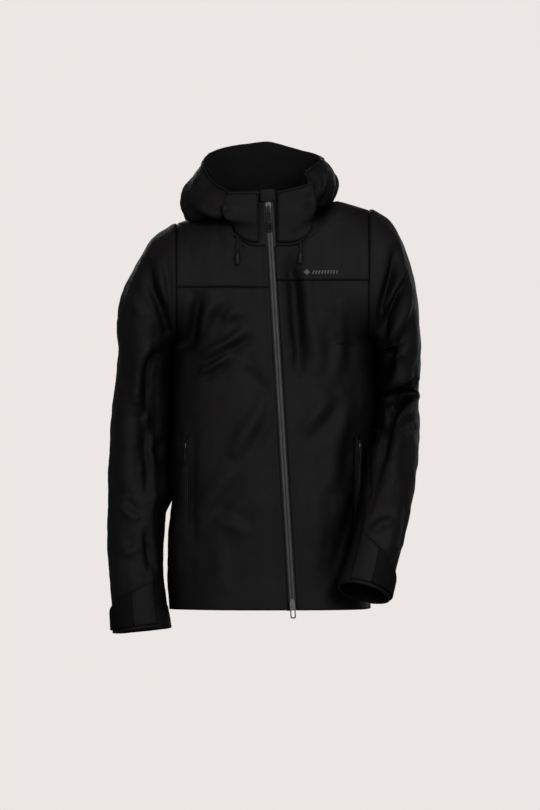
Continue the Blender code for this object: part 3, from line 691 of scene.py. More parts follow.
# Front folds as (path of (x, height) points, width, height): the ones gravity and the arms pull in.
FRONT_FOLDS = (
    (((-0.1225, 0.545), (-0.1357, 0.483), (-0.1500, 0.440)), 0.012, -0.0085),
    (((-0.1420, 0.535), (-0.1500, 0.495), (-0.1560, 0.460)), 0.010, 0.0040),
    (((-0.0920, 0.535), (-0.1160, 0.500), (-0.1200, 0.465)), 0.012, 0.0055),
    (((-0.0420, 0.480), (-0.0745, 0.457), (-0.1225, 0.431)), 0.009, 0.0065),
    (((-0.0700, 0.440), (-0.0963, 0.418), (-0.1260, 0.402)), 0.006, 0.0065),
    (((-0.0560, 0.515), (-0.0860, 0.495)), 0.010, 0.0035),
    (((-0.0480, 0.413), (-0.0250, 0.388), (-0.0045, 0.361)), 0.012, -0.0045),
    (((-0.0045, 0.370), (-0.0400, 0.310), (-0.0725, 0.259)), 0.014, 0.0055),
    (((-0.0640, 0.246), (-0.1000, 0.200), (-0.1320, 0.153)), 0.014, 0.0045),
    (((-0.1020, 0.153), (-0.0700, 0.146), (-0.0385, 0.128)), 0.012, 0.0035),
    (((-0.1340, 0.300), (-0.1360, 0.200), (-0.1340, 0.115)), 0.006, -0.0035),
    (((0.022, 0.614), (0.0348, 0.553), (0.0392, 0.501), (0.0457, 0.440), (0.0435, 0.395)), 0.012, -0.0110),
    (((0.0540, 0.605), (0.0590, 0.520), (0.0640, 0.430)), 0.012, 0.0045),
    (((0.0830, 0.550), (0.0800, 0.470), (0.0750, 0.400)), 0.012, 0.0035),
    (((0.1100, 0.530), (0.1120, 0.450), (0.1050, 0.380)), 0.012, 0.0040),
    (((0.1000, 0.372), (0.0800, 0.340), (0.0450, 0.300)), 0.014, 0.0050),
    (((0.1315, 0.366), (0.1060, 0.281), (0.0975, 0.196)), 0.016, 0.0045),
    (((0.1640, 0.270), (0.1500, 0.200), (0.1250, 0.136), (0.1000, 0.047)), 0.012, -0.0050),
    (((0.0700, 0.210), (0.0760, 0.130), (0.0700, 0.060)), 0.016, 0.0020),
    (((-0.0900, 0.110), (-0.0860, 0.070), (-0.0900, 0.030)), 0.014, 0.0035),
)
BACK_FOLDS = (
    (((-0.110, 0.560), (-0.070, 0.520), (0.000, 0.505), (0.070, 0.520), (0.110, 0.560)), 0.013, 0.0050),
    (((-0.120, 0.500), (-0.060, 0.455), (0.010, 0.440)), 0.014, 0.0055),
    (((0.125, 0.480), (0.070, 0.430), (0.020, 0.405)), 0.014, 0.0055),
    (((-0.130, 0.400), (-0.070, 0.370), (-0.010, 0.365)), 0.013, 0.0045),
    (((-0.060, 0.320), (-0.050, 0.200), (-0.062, 0.060)), 0.017, 0.0060),
    (((0.020, 0.330), (0.030, 0.200), (0.018, 0.060)), 0.018, 0.0065),
    (((0.092, 0.340), (0.100, 0.210), (0.096, 0.080)), 0.016, 0.0050),
)


def armhole_distance(points):
    """How far a point lies from the nearer armhole ring, seen from the side."""
    from_ring = np.hypot(points[..., 1], points[..., 2] - ARM_Z) - ARM_RADIUS
    inwards = HALF_WIDTH - np.abs(points[..., 0])
    return np.hypot(np.maximum(from_ring, 0), inwards)


def torso_lift(points, front):
    """How far the cloth stands out from the shell at each point, with its folds."""
    x, z = points[..., 0], points[..., 2]
    lift = rumple(points, TORSO_WAVES)
    for path, width, height in FRONT_FOLDS if front else BACK_FOLDS:
        lift += stroke(x, z, path, width, height * FOLD_STRENGTH)
    lift *= smooth(armhole_distance(points) / 0.032)
    lift *= mix(0.35, 1.0, smooth(z / 0.07))
    if front:
        lift *= smooth((np.abs(x - zip_x(z)) - ZIP_HALF) / 0.030)
    low_neck = neckline(np.arctan2(x - middle(z), -points[..., 1]))
    lift *= smooth((low_neck - z) / 0.045)
    return np.clip(lift, -0.0120, 0.0090)


def push(points, lift, wrap=False):
    return points + grid_normals(points, wrap) * lift[..., None]


# Loose cloth under the arms: how far it stands past the CAD's side, the gap left to the sleeve, and how far
# the line between the two leans. Below FOREARM_LAP_Z the left forearm lies in front of the torso.
SIDE_FULLNESS = 0.0062
SLEEVE_CLEARANCE = 0.0008
SIDE_LEAN = 0.0034
FOREARM_LAP_Z = 0.272
HEM_FLARE = 0.0085
HEM_TUCK = 0.0035


def side_lean(points, side):
    """How far out the line where torso and sleeve meet leans, so that the one in front laps the other."""
    forearm_laps = 1 - smooth((points[..., 2] - FOREARM_LAP_Z) / 0.02) if side > 0 else 0.0
    return mix(-SIDE_LEAN, SIDE_LEAN, forearm_laps) * np.tanh(points[..., 1] / 0.02)


def side_fullness(side, height):
    """How far the side stands out at a height: the right flares towards the hem and the left narrows."""
    armpit = 0.0030 * bell(height - ARMPIT_Z + 0.008, 0.006)
    if side < 0:
        shape = HEM_FLARE * smooth((0.20 - height) / 0.09) - HEM_TUCK * smooth((0.06 - height) / 0.06)
    else:
        shape = 0.0025 * bell(height - FOREARM_LAP_Z - 0.01, 0.015) - 0.004 * smooth((0.18 - height) / 0.12)
    return SIDE_FULLNESS + armpit + shape


def fuller_sides(points):
    """Moves the loose cloth under each arm outwards, so that the sides have the fullness they should."""
    height = points[..., 2].mean(axis=0)
    low = smooth((ARMPIT_Z + 0.009 - height) / 0.008)
    for sign in (-1, 1):
        lean = side_lean(points, sign)
        reach = np.max(points[..., 0] * sign, axis=0)
        wide = (reach > HALF_WIDTH * 0.9) * low
        short = (HALF_WIDTH + side_fullness(sign, height) - reach) * wide
        share = smooth((points[..., 0] * sign / np.maximum(reach, 1e-6) - 0.80) / 0.20)
        points[..., 0] += sign * (short + lean * wide) * share
    return points


# ---------------------------------------------------------------- torso panels
YOKE_OVERLAP = 0.002
LAP_LIFT = 0.0008
STITCH_ROWS = (0.0022, 0.0080)  # how far the two rows on a lapped seam lie from its edge
UNDER_LAP_ROW = 0.0200  # how far the row on the panel below lies from the same edge
ZIP_ROW = 0.0068  # how far the row beside the front zip lies from it


def face_out(points, side):
    """Turns a grid round if its normals would face inwards: the wearer's right side is a mirror image."""
    return points[::-1] if side < 0 else points


def place_piece(obj, body, nodes=()):
    """Puts a piece on its body, or on no body if body is None, and names what it replaces."""
    if body:
        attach(obj, body)
    if nodes:
        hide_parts(*nodes)
    return obj


def panel(name, points, nodes, thick=0.0012):
    """A lined sheet of shell cloth on the jacket."""
    sheet = grid_object(name, points, SHELL, thick, False, LINING)
    return place_piece(sheet, "jacket", nodes)


def seam_row(points, inset, rows_axis=1, from_end=False):
    """A path that runs beside one edge of a grid, at a distance inside it, and its normals."""
    if from_end:
        points = points[:, ::-1] if rows_axis == 1 else points[::-1]
    flip = -1 if from_end else 1
    normals = grid_normals(points) * flip
    if rows_axis == 0:
        points, normals = points.transpose(1, 0, 2), normals.transpose(1, 0, 2)
    reach = lengths(points, 1)
    rows = [[np.interp(inset, reach[i], points[i, :, a]) for a in range(3)] for i in range(len(points))]
    ups = [[np.interp(inset, reach[i], normals[i, :, a]) for a in range(3)] for i in range(len(points))]
    return np.array(rows), np.array(ups)


def edge_ridge(distance, width, height):
    """The small welt that a lapped and topstitched seam makes beside its edge."""
    return height * (1 - smooth((distance - width * 0.75) / (width * 0.5)))


def yoke_seam_lift(points, is_yoke):
    """The yoke laps over the panel below, which shows the turned edge under it as a faint welt."""
    reach = lengths(points, 1)
    if is_yoke:
        return LAP_LIFT + edge_ridge(reach, 0.010, 0.0006)
    return 0.0005 * smooth((0.0205 - reach) / 0.0025)


def stitch_yoke_seam(points, is_yoke):
    for inset in STITCH_ROWS if is_yoke else (UNDER_LAP_ROW,):
        stitch(*seam_row(points, inset), "jacket")


def front_grid(side, low, high, columns, rows):
    """A front grid between two rises, from the zip outwards, before folds."""
    out, v = grid(columns, rows)
    return front_sheet(side, out, mix(low, high, v))


def build_front(side, name):
    above = front_grid(side, YOKE_LEVEL - YOKE_OVERLAP, 1.0, 48, 26)
    below = front_grid(side, 0.0, YOKE_LEVEL, 44, 130)
    for label, points, is_yoke in (("front_panel_", below, False), ("front_yoke_", above, True)):
        points = face_out(points, side)
        zip_gap = np.abs(points[..., 0] - zip_x(points[..., 2])) - ZIP_HALF
        lift = torso_lift(points, True) + yoke_seam_lift(points, is_yoke)
        lift += edge_ridge(zip_gap, 0.0085, 0.0011)
        points = fuller_sides(push(points, lift))
        nodes = [label + name] + ([] if is_yoke else ["side_panel_" + name])
        panel(label + name, points, nodes)
        stitch(*seam_row(points, ZIP_ROW, 0, side < 0), "jacket")
        stitch_yoke_seam(points, is_yoke)


def build_back():
    rises = {"back_panel": (0.0, YOKE_LEVEL, 130), "back_yoke": (YOKE_LEVEL - YOKE_OVERLAP, 1.0, 30)}
    for label, (low, high, rows) in rises.items():
        is_yoke = label == "back_yoke"
        out, v = grid(96, rows)
        points = back_sheet(out, mix(low, high, v))
        lift = torso_lift(points, False) + yoke_seam_lift(points, is_yoke)
        points = fuller_sides(push(points, lift))
        panel(label, points, [label])
        stitch_yoke_seam(points, is_yoke)


# ---------------------------------------------------------------- sleeves and cuffs
# Folds on the front of each sleeve as (path of (x, height) points, width, height of the fold).
SLEEVE_FRONT = {
    -1: (
        (((-0.2165, 0.600), (-0.2056, 0.545), (-0.1860, 0.501), (-0.1760, 0.468)), 0.009, -0.0110),
        (((-0.1960, 0.600), (-0.1880, 0.552), (-0.1760, 0.515)), 0.008, 0.0060),
        (((-0.1728, 0.600), (-0.1700, 0.560), (-0.1680, 0.520)), 0.006, -0.0070),
        (((-0.2450, 0.540), (-0.2350, 0.520), (-0.2200, 0.498)), 0.009, 0.0040),
        (((-0.190, 0.44), (-0.202, 0.425), (-0.213, 0.4), (-0.2165, 0.361), (-0.214, 0.325)), 0.01, -0.0080),
        (((-0.2050, 0.460), (-0.2240, 0.428), (-0.2300, 0.380), (-0.2300, 0.330)), 0.011, 0.0065),
        (((-0.2320, 0.353), (-0.2170, 0.302), (-0.2106, 0.238), (-0.2170, 0.190)), 0.011, -0.0070),
        (((-0.2550, 0.366), (-0.2490, 0.281), (-0.2530, 0.200)), 0.014, 0.0050),
        (((-0.2170, 0.140), (-0.2106, 0.094), (-0.2060, 0.064)), 0.007, -0.0050),
        (((-0.2620, 0.180), (-0.2450, 0.162), (-0.2280, 0.152)), 0.008, 0.0045),
        (((-0.2640, 0.110), (-0.2460, 0.098), (-0.2280, 0.104)), 0.009, 0.0035),
        (((-0.1950, 0.300), (-0.2050, 0.270), (-0.1960, 0.230)), 0.009, 0.0045),
        (((-0.1940, 0.430), (-0.1960, 0.390), (-0.1970, 0.320), (-0.1960, 0.200)), 0.017, -0.0110),
    ),
    1: (
        (((0.2110, 0.620), (0.2075, 0.584), (0.1920, 0.531), (0.1770, 0.488)), 0.008, -0.0120),
        (((0.2300, 0.582), (0.2096, 0.548), (0.1800, 0.492)), 0.007, 0.0065),
        (((0.2330, 0.568), (0.2096, 0.527), (0.1780, 0.470)), 0.008, -0.0110),
        (((0.2400, 0.545), (0.2220, 0.500), (0.1950, 0.455), (0.1800, 0.440)), 0.010, 0.0080),
        (((0.2400, 0.478), (0.2150, 0.445), (0.1880, 0.430)), 0.009, -0.0075),
        (((0.2270, 0.427), (0.1930, 0.408), (0.1720, 0.391)), 0.008, -0.0080),
        (((0.2420, 0.402), (0.2040, 0.384), (0.1760, 0.361)), 0.010, 0.0085),
        (((0.2500, 0.394), (0.2250, 0.361), (0.1995, 0.327), (0.1740, 0.304)), 0.011, -0.0120),
        (((0.2530, 0.372), (0.2270, 0.344), (0.2040, 0.323)), 0.008, 0.0080),
        (((0.2240, 0.318), (0.2050, 0.268), (0.2080, 0.214)), 0.012, 0.0050),
        (((0.1930, 0.292), (0.1780, 0.230), (0.1620, 0.168)), 0.009, -0.0050),
        (((0.1700, 0.132), (0.1860, 0.148), (0.2040, 0.152)), 0.008, 0.0045),
        (((0.2140, 0.190), (0.2040, 0.140), (0.1960, 0.095)), 0.012, 0.0040),
        (((0.1900, 0.520), (0.1930, 0.440), (0.1930, 0.380)), 0.010, -0.0080),
        (((0.2100, 0.350), (0.1960, 0.325), (0.1900, 0.250)), 0.010, -0.0090),
    ),
}
# Folds elsewhere on a sleeve, as (path of (turn in degrees, height) points, width, height of the fold).
SLEEVE_BACK = (
    (((-50, 0.560), (-70, 0.480), (-60, 0.400)), 0.013, 0.0065),
    (((-120, 0.520), (-92, 0.470), (-70, 0.440)), 0.011, 0.0055),
    (((-140, 0.400), (-100, 0.372), (-56, 0.380)), 0.010, 0.0070),
    (((-146, 0.350), (-104, 0.330), (-60, 0.340)), 0.010, 0.0070),
    (((-140, 0.300), (-100, 0.285), (-64, 0.296)), 0.011, 0.0055),
    (((-70, 0.250), (-84, 0.160), (-74, 0.080)), 0.014, 0.0050),
    (((-130, 0.200), (-118, 0.130), (-126, 0.070)), 0.012, 0.0045),
)
SLEEVE_SPAN = 0.055  # turns a turn in radians into metres round the sleeve
SHOULDER_TOP = 0.655
SLEEVE_SEAMS = (124.5, -124.5)
SLEEVE_COLUMNS = 112
SLEEVE_ROWS = 188
SLEEVE_OVERLAP = 0.12  # how far short of the last ring the sleeve ends, under its cuff
# Rings that turn the top of the sleeve in under the torso's edge, as (step outwards, growth of the ring).
TUCK = ((-0.0060, -0.0026), (-0.0002, -0.0016), (0.0007, 0.0001), (0.0034, 0.0010))
TUCK_LENGTH = 0.010


def sleeve_lift(side, turn, reach, points):
    """How far the sleeve's cloth stands out, with its folds. Reach is the distance down from the armhole."""
    around = turn * SLEEVE_SPAN
    lift = rumple(points, (
        (0.0030, (0.060, 0.070, 0.150), 3.1 + side, 3),
        (0.0013, (0.024, 0.030, 0.040), 8.8 + side, 3),
        (0.0005, (0.010, 0.012, 0.014), 2.6, 2),
    ))
    facing = smooth(np.sin(turn) / 0.35)
    for path, width, height in SLEEVE_FRONT[side]:
        lift += facing * stroke(points[..., 0], points[..., 2], path, width, height * FOLD_STRENGTH)
    for path, width, height in SLEEVE_BACK:
        flat = [(math.radians(degrees) * SLEEVE_SPAN, SHOULDER_TOP - z) for degrees, z in path]
        lift += stroke(around, reach, flat, width, height)
    for degrees in SLEEVE_SEAMS:
        lift += 0.0007 * bell((turn - math.radians(degrees)) * SLEEVE_SPAN, 0.004)
    lift *= smooth(reach / 0.035) * smooth((reach[:, -1:] - reach - 0.045) / 0.035)
    return np.clip(lift, -0.0180, 0.0095)


def beside_torso(points, side):
    """Lets the sleeve's inner side hang against the torso below the armpit, and never inside it."""
    limit = HALF_WIDTH + SIDE_FULLNESS + SLEEVE_CLEARANCE
    away = points[..., 0] * side
    nearest = away.min(axis=0)
    height = points[..., 2].mean(axis=0)
    hang = smooth((ARMPIT_Z + 0.030 - height) / 0.02) * smooth((height - 0.165) / 0.035)
    lean = side_lean(points, side)
    beyond = np.where((nearest > HALF_WIDTH + 0.003) & (nearest < limit + 0.030), nearest - limit, 0)
    middle = (nearest + away.max(axis=0)) / 2
    share = smooth((middle - away) / np.maximum(middle - nearest, 1e-6))
    away = away - beyond * hang * share + lean * hang * share
    under = (points[..., 2] < ARMPIT_Z) & (np.abs(points[..., 1]) < FRONT_DEPTH[0]) & (away > HALF_WIDTH)
    away = np.where(under, np.maximum(away, limit + lean), away)
    moved = points.copy()
    moved[..., 0] = away * side
    return moved


def even_places(side, first, last, count):
    """Ring numbers between two rings, spaced evenly along the sleeve's middle."""
    fine = np.linspace(first, last, 400)
    centre = along_rings(sleeve_rings(side)[0], fine)
    run = lengths(centre[None], 1)[0]
    return np.interp(np.linspace(0, run[-1], count), run, fine)


def sleeve_sheet(side):
    """The whole sleeve's points from the tuck to the cuff, and the row where its head ends."""
    turns = np.linspace(-math.pi, math.pi, SLEEVE_COLUMNS + 1)
    places = even_places(side, 0.0, LAST_RING - SLEEVE_OVERLAP, SLEEVE_ROWS)
    turn, place = np.meshgrid(turns, places, indexing="ij")
    tube = sleeve_surface(side, turn, place)
    centre = np.array([side * (HALF_WIDTH + ARM_GAP), 0, ARM_Z])
    radial = unit(sleeve_tube(side, turn[:, :1], place[:, :1])[:, 0] - centre)
    tuck = [centre + radial * (ARM_RADIUS + grow) + [side * (step - ARM_GAP), 0, 0] for step, grow in TUCK]
    points = np.concatenate([squarer_shoulders(np.stack(tuck, axis=1)), tube], axis=1)
    reach = lengths(tube, 1)
    outside = np.broadcast_to(reach[SLEEVE_COLUMNS // 2][None], reach.shape)
    flat_tuck = np.zeros((SLEEVE_COLUMNS + 1, len(TUCK)))
    lift = np.concatenate([flat_tuck, sleeve_lift(side, turn, outside, tube)], axis=1)
    lift[-1] = lift[0]
    points = push(face_out(points, side), face_out(lift, side), True)
    return beside_torso(points, side), len(TUCK) + np.searchsorted(places, HEAD_RINGS)


def sleeve_piece(name, points, nodes=()):
    """A tube of lined shell cloth, open at both ends, that still needs its blend."""
    piece = grid_object(name, points, SHELL, 0.0011, True, LINING)
    piece.modifiers["cloth_thickness"].use_rim = False
    return place_piece(piece, None, nodes)


def build_sleeve(side, name):
    """The sleeve as a head, stitched along its top, and the rest; neither piece is put on a body. Then its cuff
    and tab.
    """
    points, split = sleeve_sheet(side)
    head = sleeve_piece("sleeve_head_" + name, points[:, : split + 1])
    start = ORIGIN + [side * HALF_WIDTH, 0.0, 0.550]
    end = ORIGIN + [side * (HALF_WIDTH + 0.050), 0.0, 0.470]
    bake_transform(head)
    nodes = [part + name for part in ("sleeve_outer_", "sleeve_under_", "elbow_panel_", "lower_sleeve_")]
    sleeve = sleeve_piece("sleeve_" + name, points[:, split:], nodes)
    rings = sleeve_rings(side)[0]
    start, end = along_rings(rings, np.array([ELBOW_RING - 0.85, ELBOW_RING + 0.75])) + ORIGIN
    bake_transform(sleeve)
    for inset in STITCH_ROWS:
        stitch(*seam_row(points, inset + TUCK_LENGTH), "jacket")
    build_cuff(side, name)
    build_cuff_tab(side, name)


CUFF_CLIMB = 0.68
# The cuff from its upper edge, down the outside and up again inside, as (share of its height, lift).
CUFF_PROFILE = (
    (0.0, 0.0006), (0.02, 0.0016), (0.10, 0.0017), (0.3, 0.0016), (0.5, 0.0018), (0.7, 0.0015),
    (0.85, 0.0014), (0.9, 0.0019), (0.96, 0.0017), (1.0, 0.0008), (1.004, -0.0008),
    (0.985, -0.0026), (0.9, -0.0034), (0.7, -0.0038), (0.45, -0.0040),
)
CUFF_OUTSIDE = 9  # rows that lie outside
CUFF_WOBBLE_ROWS = 10  # rows that crease in full: the hidden ones keep straighter
TAB_HINGE = 75  # turns in degrees, from the outside of the sleeve towards its front
TAB_END = -35


def ring_out(side, turn, place, lift):
    """A point lifted away from the sleeve's middle."""
    base = sleeve_surface(side, turn, place)
    centre = along_rings(sleeve_rings(side)[0], place)
    return base + unit(base - centre) * np.asarray(lift)[..., None]


def cuff_top(turn):
    """The ring number of the cuff's upper edge, which climbs slantwise to the sleeve's front seam."""
    climb = np.clip(turn / math.radians(SLEEVE_SEAMS[0]), 0, 1)
    climb = np.where(turn > math.radians(SLEEVE_SEAMS[0]), 0, climb)
    return CUFF_RING + 0.24 - CUFF_CLIMB * climb


def build_cuff(side, name):
    turns = np.linspace(-math.pi, math.pi, 2 * SLEEVE_COLUMNS + 1)
    rows = []
    for share, lift in CUFF_PROFILE:
        place = mix(cuff_top(turns), LAST_RING, share)
        rows.append(ring_out(side, turns, np.minimum(place, LAST_RING - 1e-3), lift + 0 * turns))
    points = np.stack(rows, axis=1)
    wobble = 0.0012 * field(points, (0.03, 0.03, 0.03), 5.0 + side)
    wobble[:, CUFF_WOBBLE_ROWS:] *= 0.3
    wobble[-1] = wobble[0]
    points, wobble = face_out(points, side), face_out(wobble, side)
    points = push(points, wobble, True)
    cuff = grid_object("cuff_" + name + "_shell", points, SHELL, 0.0008, True)
    subdivide(cuff)
    place_piece(cuff, "lower_arm_" + name, ["cuff_" + name])
    for inset, from_end in ((0.0030, False), (0.0065, True)):
        stitch(*seam_row(points[:, :CUFF_OUTSIDE], inset, 1, from_end), "lower_arm_" + name)


def tab_grid(side, start, end, round_end, lift, columns):
    """A strap on the cuff between two turns in degrees: slanting above, level below, with a rounded end."""
    u, v = grid(columns, 16)
    turn = np.radians(mix(start, end, u))
    upper = cuff_top(np.maximum(turn, math.radians(-20))) + 0.035
    lower = LAST_RING - 0.17
    middle, half = (upper + lower) / 2, (lower - upper) / 2
    rounding = np.sqrt(np.clip(1 - ((u - (1 - round_end)) / round_end).clip(0, 1) ** 2, 0.02, 1))
    place = middle + half * np.where(u > 1 - round_end, rounding, 1.0) * (1 - 2 * v)
    edge = np.minimum(np.minimum(v, 1 - v) * 10, 1)
    return ring_out(side, turn, place, lift + 0.0004 * smooth(edge))


def build_cuff_tab(side, name):
    """The tab's sewn end on the cuff, and its loose end, which turns on a body of its own."""
    root = tab_grid(side, SLEEVE_SEAMS[0] - 1.5, TAB_HINGE - 1, 0.001, 0.0032, 24)
    free = tab_grid(side, TAB_HINGE, TAB_END, 0.10, 0.0048, 44)
    for label, points, material, slot, body, nodes in (
        ("tab_root_", root, SHELL, "shell_fabric", "lower_arm_" + name, ()),
        ("tab_", free, TAB_RUBBER, "black_rubber", "cuff_tab_" + name, ["cuff_tab_" + name]),
    ):
        points = face_out(points, side)
        place_piece(grid_object(label + name, points, material, 0.0018), body, nodes)
        for from_end in (False, True):
            stitch(*seam_row(points, 0.0022, 1, from_end), body)
        stitch(*seam_row(points, 0.0025, 0, side < 0), body)


# ---------------------------------------------------------------- hood and collar
HOOD_WAVES = (
    (0.0032, (0.070, 0.070, 0.060), 6.3, 3),
    (0.0014, (0.026, 0.026, 0.026), 2.2, 3),
    (0.0005, (0.010, 0.010, 0.010), 7.5, 2),
)
# Folds as (path of (turn in degrees, share of the way to the rim) points, width, height of the fold).
HOOD_FOLDS = (
    (((300, 0.08), (288, 0.30), (276, 0.52), (268, 0.75)), 0.012, 0.0070),
    (((320, 0.10), (312, 0.32), (300, 0.50)), 0.010, 0.0050),
    (((262, 0.15), (250, 0.40), (246, 0.62)), 0.014, 0.0060),
    (((60, 0.12), (70, 0.32), (76, 0.58)), 0.012, 0.0065),
    (((36, 0.10), (44, 0.34), (52, 0.60), (56, 0.80)), 0.011, 0.0060),
    (((90, 0.18), (104, 0.45), (110, 0.70)), 0.013, 0.0055),
    (((140, 0.12), (150, 0.42), (146, 0.75)), 0.016, 0.0070),
    (((175, 0.15), (184, 0.45), (178, 0.80)), 0.017, 0.0070),
    (((212, 0.14), (206, 0.42), (214, 0.72)), 0.016, 0.0070),
    (((336, 0.12), (330, 0.40), (334, 0.70)), 0.010, 0.0035),
    (((20, 0.14), (24, 0.42), (20, 0.70)), 0.009, 0.0035),
)
HOOD_SPAN = 0.115  # turns a turn in radians into metres round the hood
HOOD_TALL = 0.20
HOOD_ROWS = 52
# The brim from its seam, over the rim and down inside, as (share of the way up, distance out).
BRIM_START = 0.93
BRIM_PROFILE = (
    (BRIM_START, 0.0002), (0.935, 0.0016), (0.96, 0.0020), (0.985, 0.0022), (0.998, 0.0014),
    (1.0, -0.0006), (0.996, -0.0024), (0.975, -0.0034), (0.94, -0.0034),
)
BRIM_COLUMNS = 190


def hood_lift(turn, v, points):
    """How far the hood's cloth stands out, with its folds and the welts of its two seams."""
    lift = rumple(points, HOOD_WAVES)
    for path, width, height in HOOD_FOLDS:
        flat = [(math.radians(degrees) * HOOD_SPAN, share * HOOD_TALL) for degrees, share in path]
        lift += stroke(turn * HOOD_SPAN, v * HOOD_TALL, flat, width, height)
    for degrees in HOOD_TURNS[1:3]:
        lift += 0.0010 * bell((turn - math.radians(degrees)) * HOOD_SPAN, 0.0045)
    front = np.minimum(turn - math.radians(HOOD_TURNS[0]), math.radians(HOOD_TURNS[3]) - turn) * 0.05
    lift *= smooth(front / 0.02 + 0.15) * smooth(v / 0.12) * mix(0.45, 1.0, smooth((1 - v) / 0.2))
    return np.clip(lift, -0.008, 0.0095)


def hood_panel(start, end, columns):
    u, v = grid(columns, HOOD_ROWS)
    turn, share = np.radians(mix(start, end, u)), v * (BRIM_START + 0.015)
    points = hood_surface(turn, share)
    return push(points, hood_lift(turn, share, points))


def hood_blend(piece):
    """Bakes a piece's place into its points; the piece is put on no body."""
    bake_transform(piece)


def build_hood():
    first, left, right, last = HOOD_TURNS
    panels = (
        ("hood_side_left", "hood_side_panel_left", first, left, 60),
        ("hood_centre", "hood_centre_panel", left, right, 64),
        ("hood_side_right", "hood_side_panel_right", right, last, 60),
    )
    for name, node, start, end, columns in panels:
        piece = grid_object(name, hood_panel(start, end, columns), SHELL)
        hood_blend(place_piece(piece, None, [node]))
    build_brim(first, last)
    build_hood_lining(first, last)


def build_brim(first, last):
    """The laminated edge of the hood, turned over the rim and stitched twice."""
    share, out = (np.array(values)[None] for values in zip(*BRIM_PROFILE))
    turn = np.radians(np.linspace(first, last, BRIM_COLUMNS + 1))[:, None] + 0 * share
    share = share + 0 * turn
    base = hood_surface(turn, share)
    below = hood_surface(turn, share - 0.002)
    normal = unit(np.cross(np.gradient(base, axis=0), base - below))
    points = base + normal * (hood_lift(turn, share, base) + out)[..., None]
    brim = grid_object("hood_brim_band", points, SHELL, 0.0)
    subdivide(brim)
    place_piece(brim, "hood", ["hood_brim"])
    for row in (1, 2):
        stitch(points[:, row], normal[:, row], "hood")


def build_hood_lining(first, last):
    """The hood's inside, from the rim down to the neckline behind the collar."""
    u, v = grid(150, 26)
    turn = np.radians(mix(first + 2, last - 2, u))
    rim = hood_surface(turn, np.full_like(turn, 0.97))
    foot = hood_surface(turn, np.full_like(turn, 0.0)) + np.array([0, 0, 0.006])
    centre = np.array([NECK_X, -0.02, 0.70])
    inward = unit((centre - foot) * [1, 1, 0])
    bulge = np.sin(np.pi * v)[..., None]
    points = mix(rim + inward * 0.004, foot + inward * 0.003, smooth(v)[..., None])
    creases = 0.0025 * field(points, (0.03, 0.03, 0.05), 4.9)[..., None]
    points = points + inward * 0.004 * bulge + creases * bulge
    lining = grid_object("hood_lining", points, LINING, 0.0008)
    hood_blend(place_piece(lining, None))


def build_collar():
    u, v = grid(200, 26)
    points = collar_surface(u, v)
    around = np.abs(u - 0.5) * 2
    lift = 0.0016 * field(points, (0.05, 0.05, 0.03), 1.1)
    lift += 0.0010 * np.sin(v * math.pi) * smooth((1 - around) / 0.04)
    lift *= smooth((1 - around) / 0.06) * smooth(v / 0.15)
    lift += edge_ridge((1 - v) * 0.095, 0.009, 0.0006)
    points = push(points, lift)
    subdivide(panel("collar_shell", points, ["collar"], 0.0022))
    stitch(*seam_row(points, 0.0080, 1, True), "jacket")
    for from_end in (False, True):
        stitch(*seam_row(points, ZIP_ROW, 0, from_end), "jacket")


def build_torso():
    for side, name in SIDES:
        build_front(side, name)
        build_sleeve(side, name)
    build_back()
    build_collar()
    build_hood()


# ---------------------------------------------------------------- lofts and cords
def rounded(half_wide, half_thick, corner):
    """A rectangle outline with round corners, as (across, out) points."""
    corner = min(corner, half_wide * 0.98, half_thick * 0.98)
    return rounded_plate(half_wide, -half_thick, half_thick, corner, 5)


def rounded_plate(half, bottom, top, corner, count=6):
    """A rectangle outline with round corners, from bottom to top, as (across, up) points."""
    points = []
    for x, y, start in (
        (half - corner, top - corner, 0), (corner - half, top - corner, 90),
        (corner - half, bottom + corner, 180), (half - corner, bottom + corner, 270),
    ):
        for k in range(count + 1):
            turn = math.radians(start + 90 * k / count)
            points.append((x + corner * math.cos(turn), y + corner * math.sin(turn)))
    return points


def finished(name, points, faces, material, body, slot, nodes=(), bevel=None):
    """A hard piece from points and faces, with crisp corners or a small bevel."""
    obj = new_object(name, points, faces, material)
    tidy_normals(obj)
    if bevel:
        edge = obj.modifiers.new("edges", "BEVEL")
        edge.width = bevel
        edge.segments = 2
        edge.limit_method = "ANGLE"
        edge.angle_limit = math.radians(40)
    return place_piece(obj, body, nodes)


def tube_faces(rings, count):
    """Faces of a closed form made of rings of count points each: its two ends and the sides between."""
    total = rings * count
    faces = [tuple(range(count)), tuple(total - 1 - k for k in range(count))]
    for a in range(0, total - count, count):
        for i in range(count):
            j = (i + 1) % count
            faces.append((a + i, a + count + i, a + count + j, a + j))
    return faces


def loft(name, frame, sections, material, body, slot, nodes=()):
    """A closed form from sections (along, half width, half thickness, out) with round corners."""
    place, across, up, out = frame
    points = []
    for along, wide, thick, shift in sections:
        for x, y in rounded(wide, thick, min(wide, thick) * 0.8):
            points.append(place + up * along + across * x + out * (y + shift))
    faces = tube_faces(len(sections), len(points) // len(sections))
    return finished(name, points, faces, material, body, slot, nodes)


def tidy_normals(obj):
    """Turns all faces outwards and keeps edges sharper than 50 degrees crisp."""
    tool = bmesh.new()
    tool.from_mesh(obj.data)
    bmesh.ops.recalc_face_normals(tool, faces=tool.faces)
    tool.to_mesh(obj.data)
    tool.free()
    obj.data.set_sharp_from_angle(angle=math.radians(50))


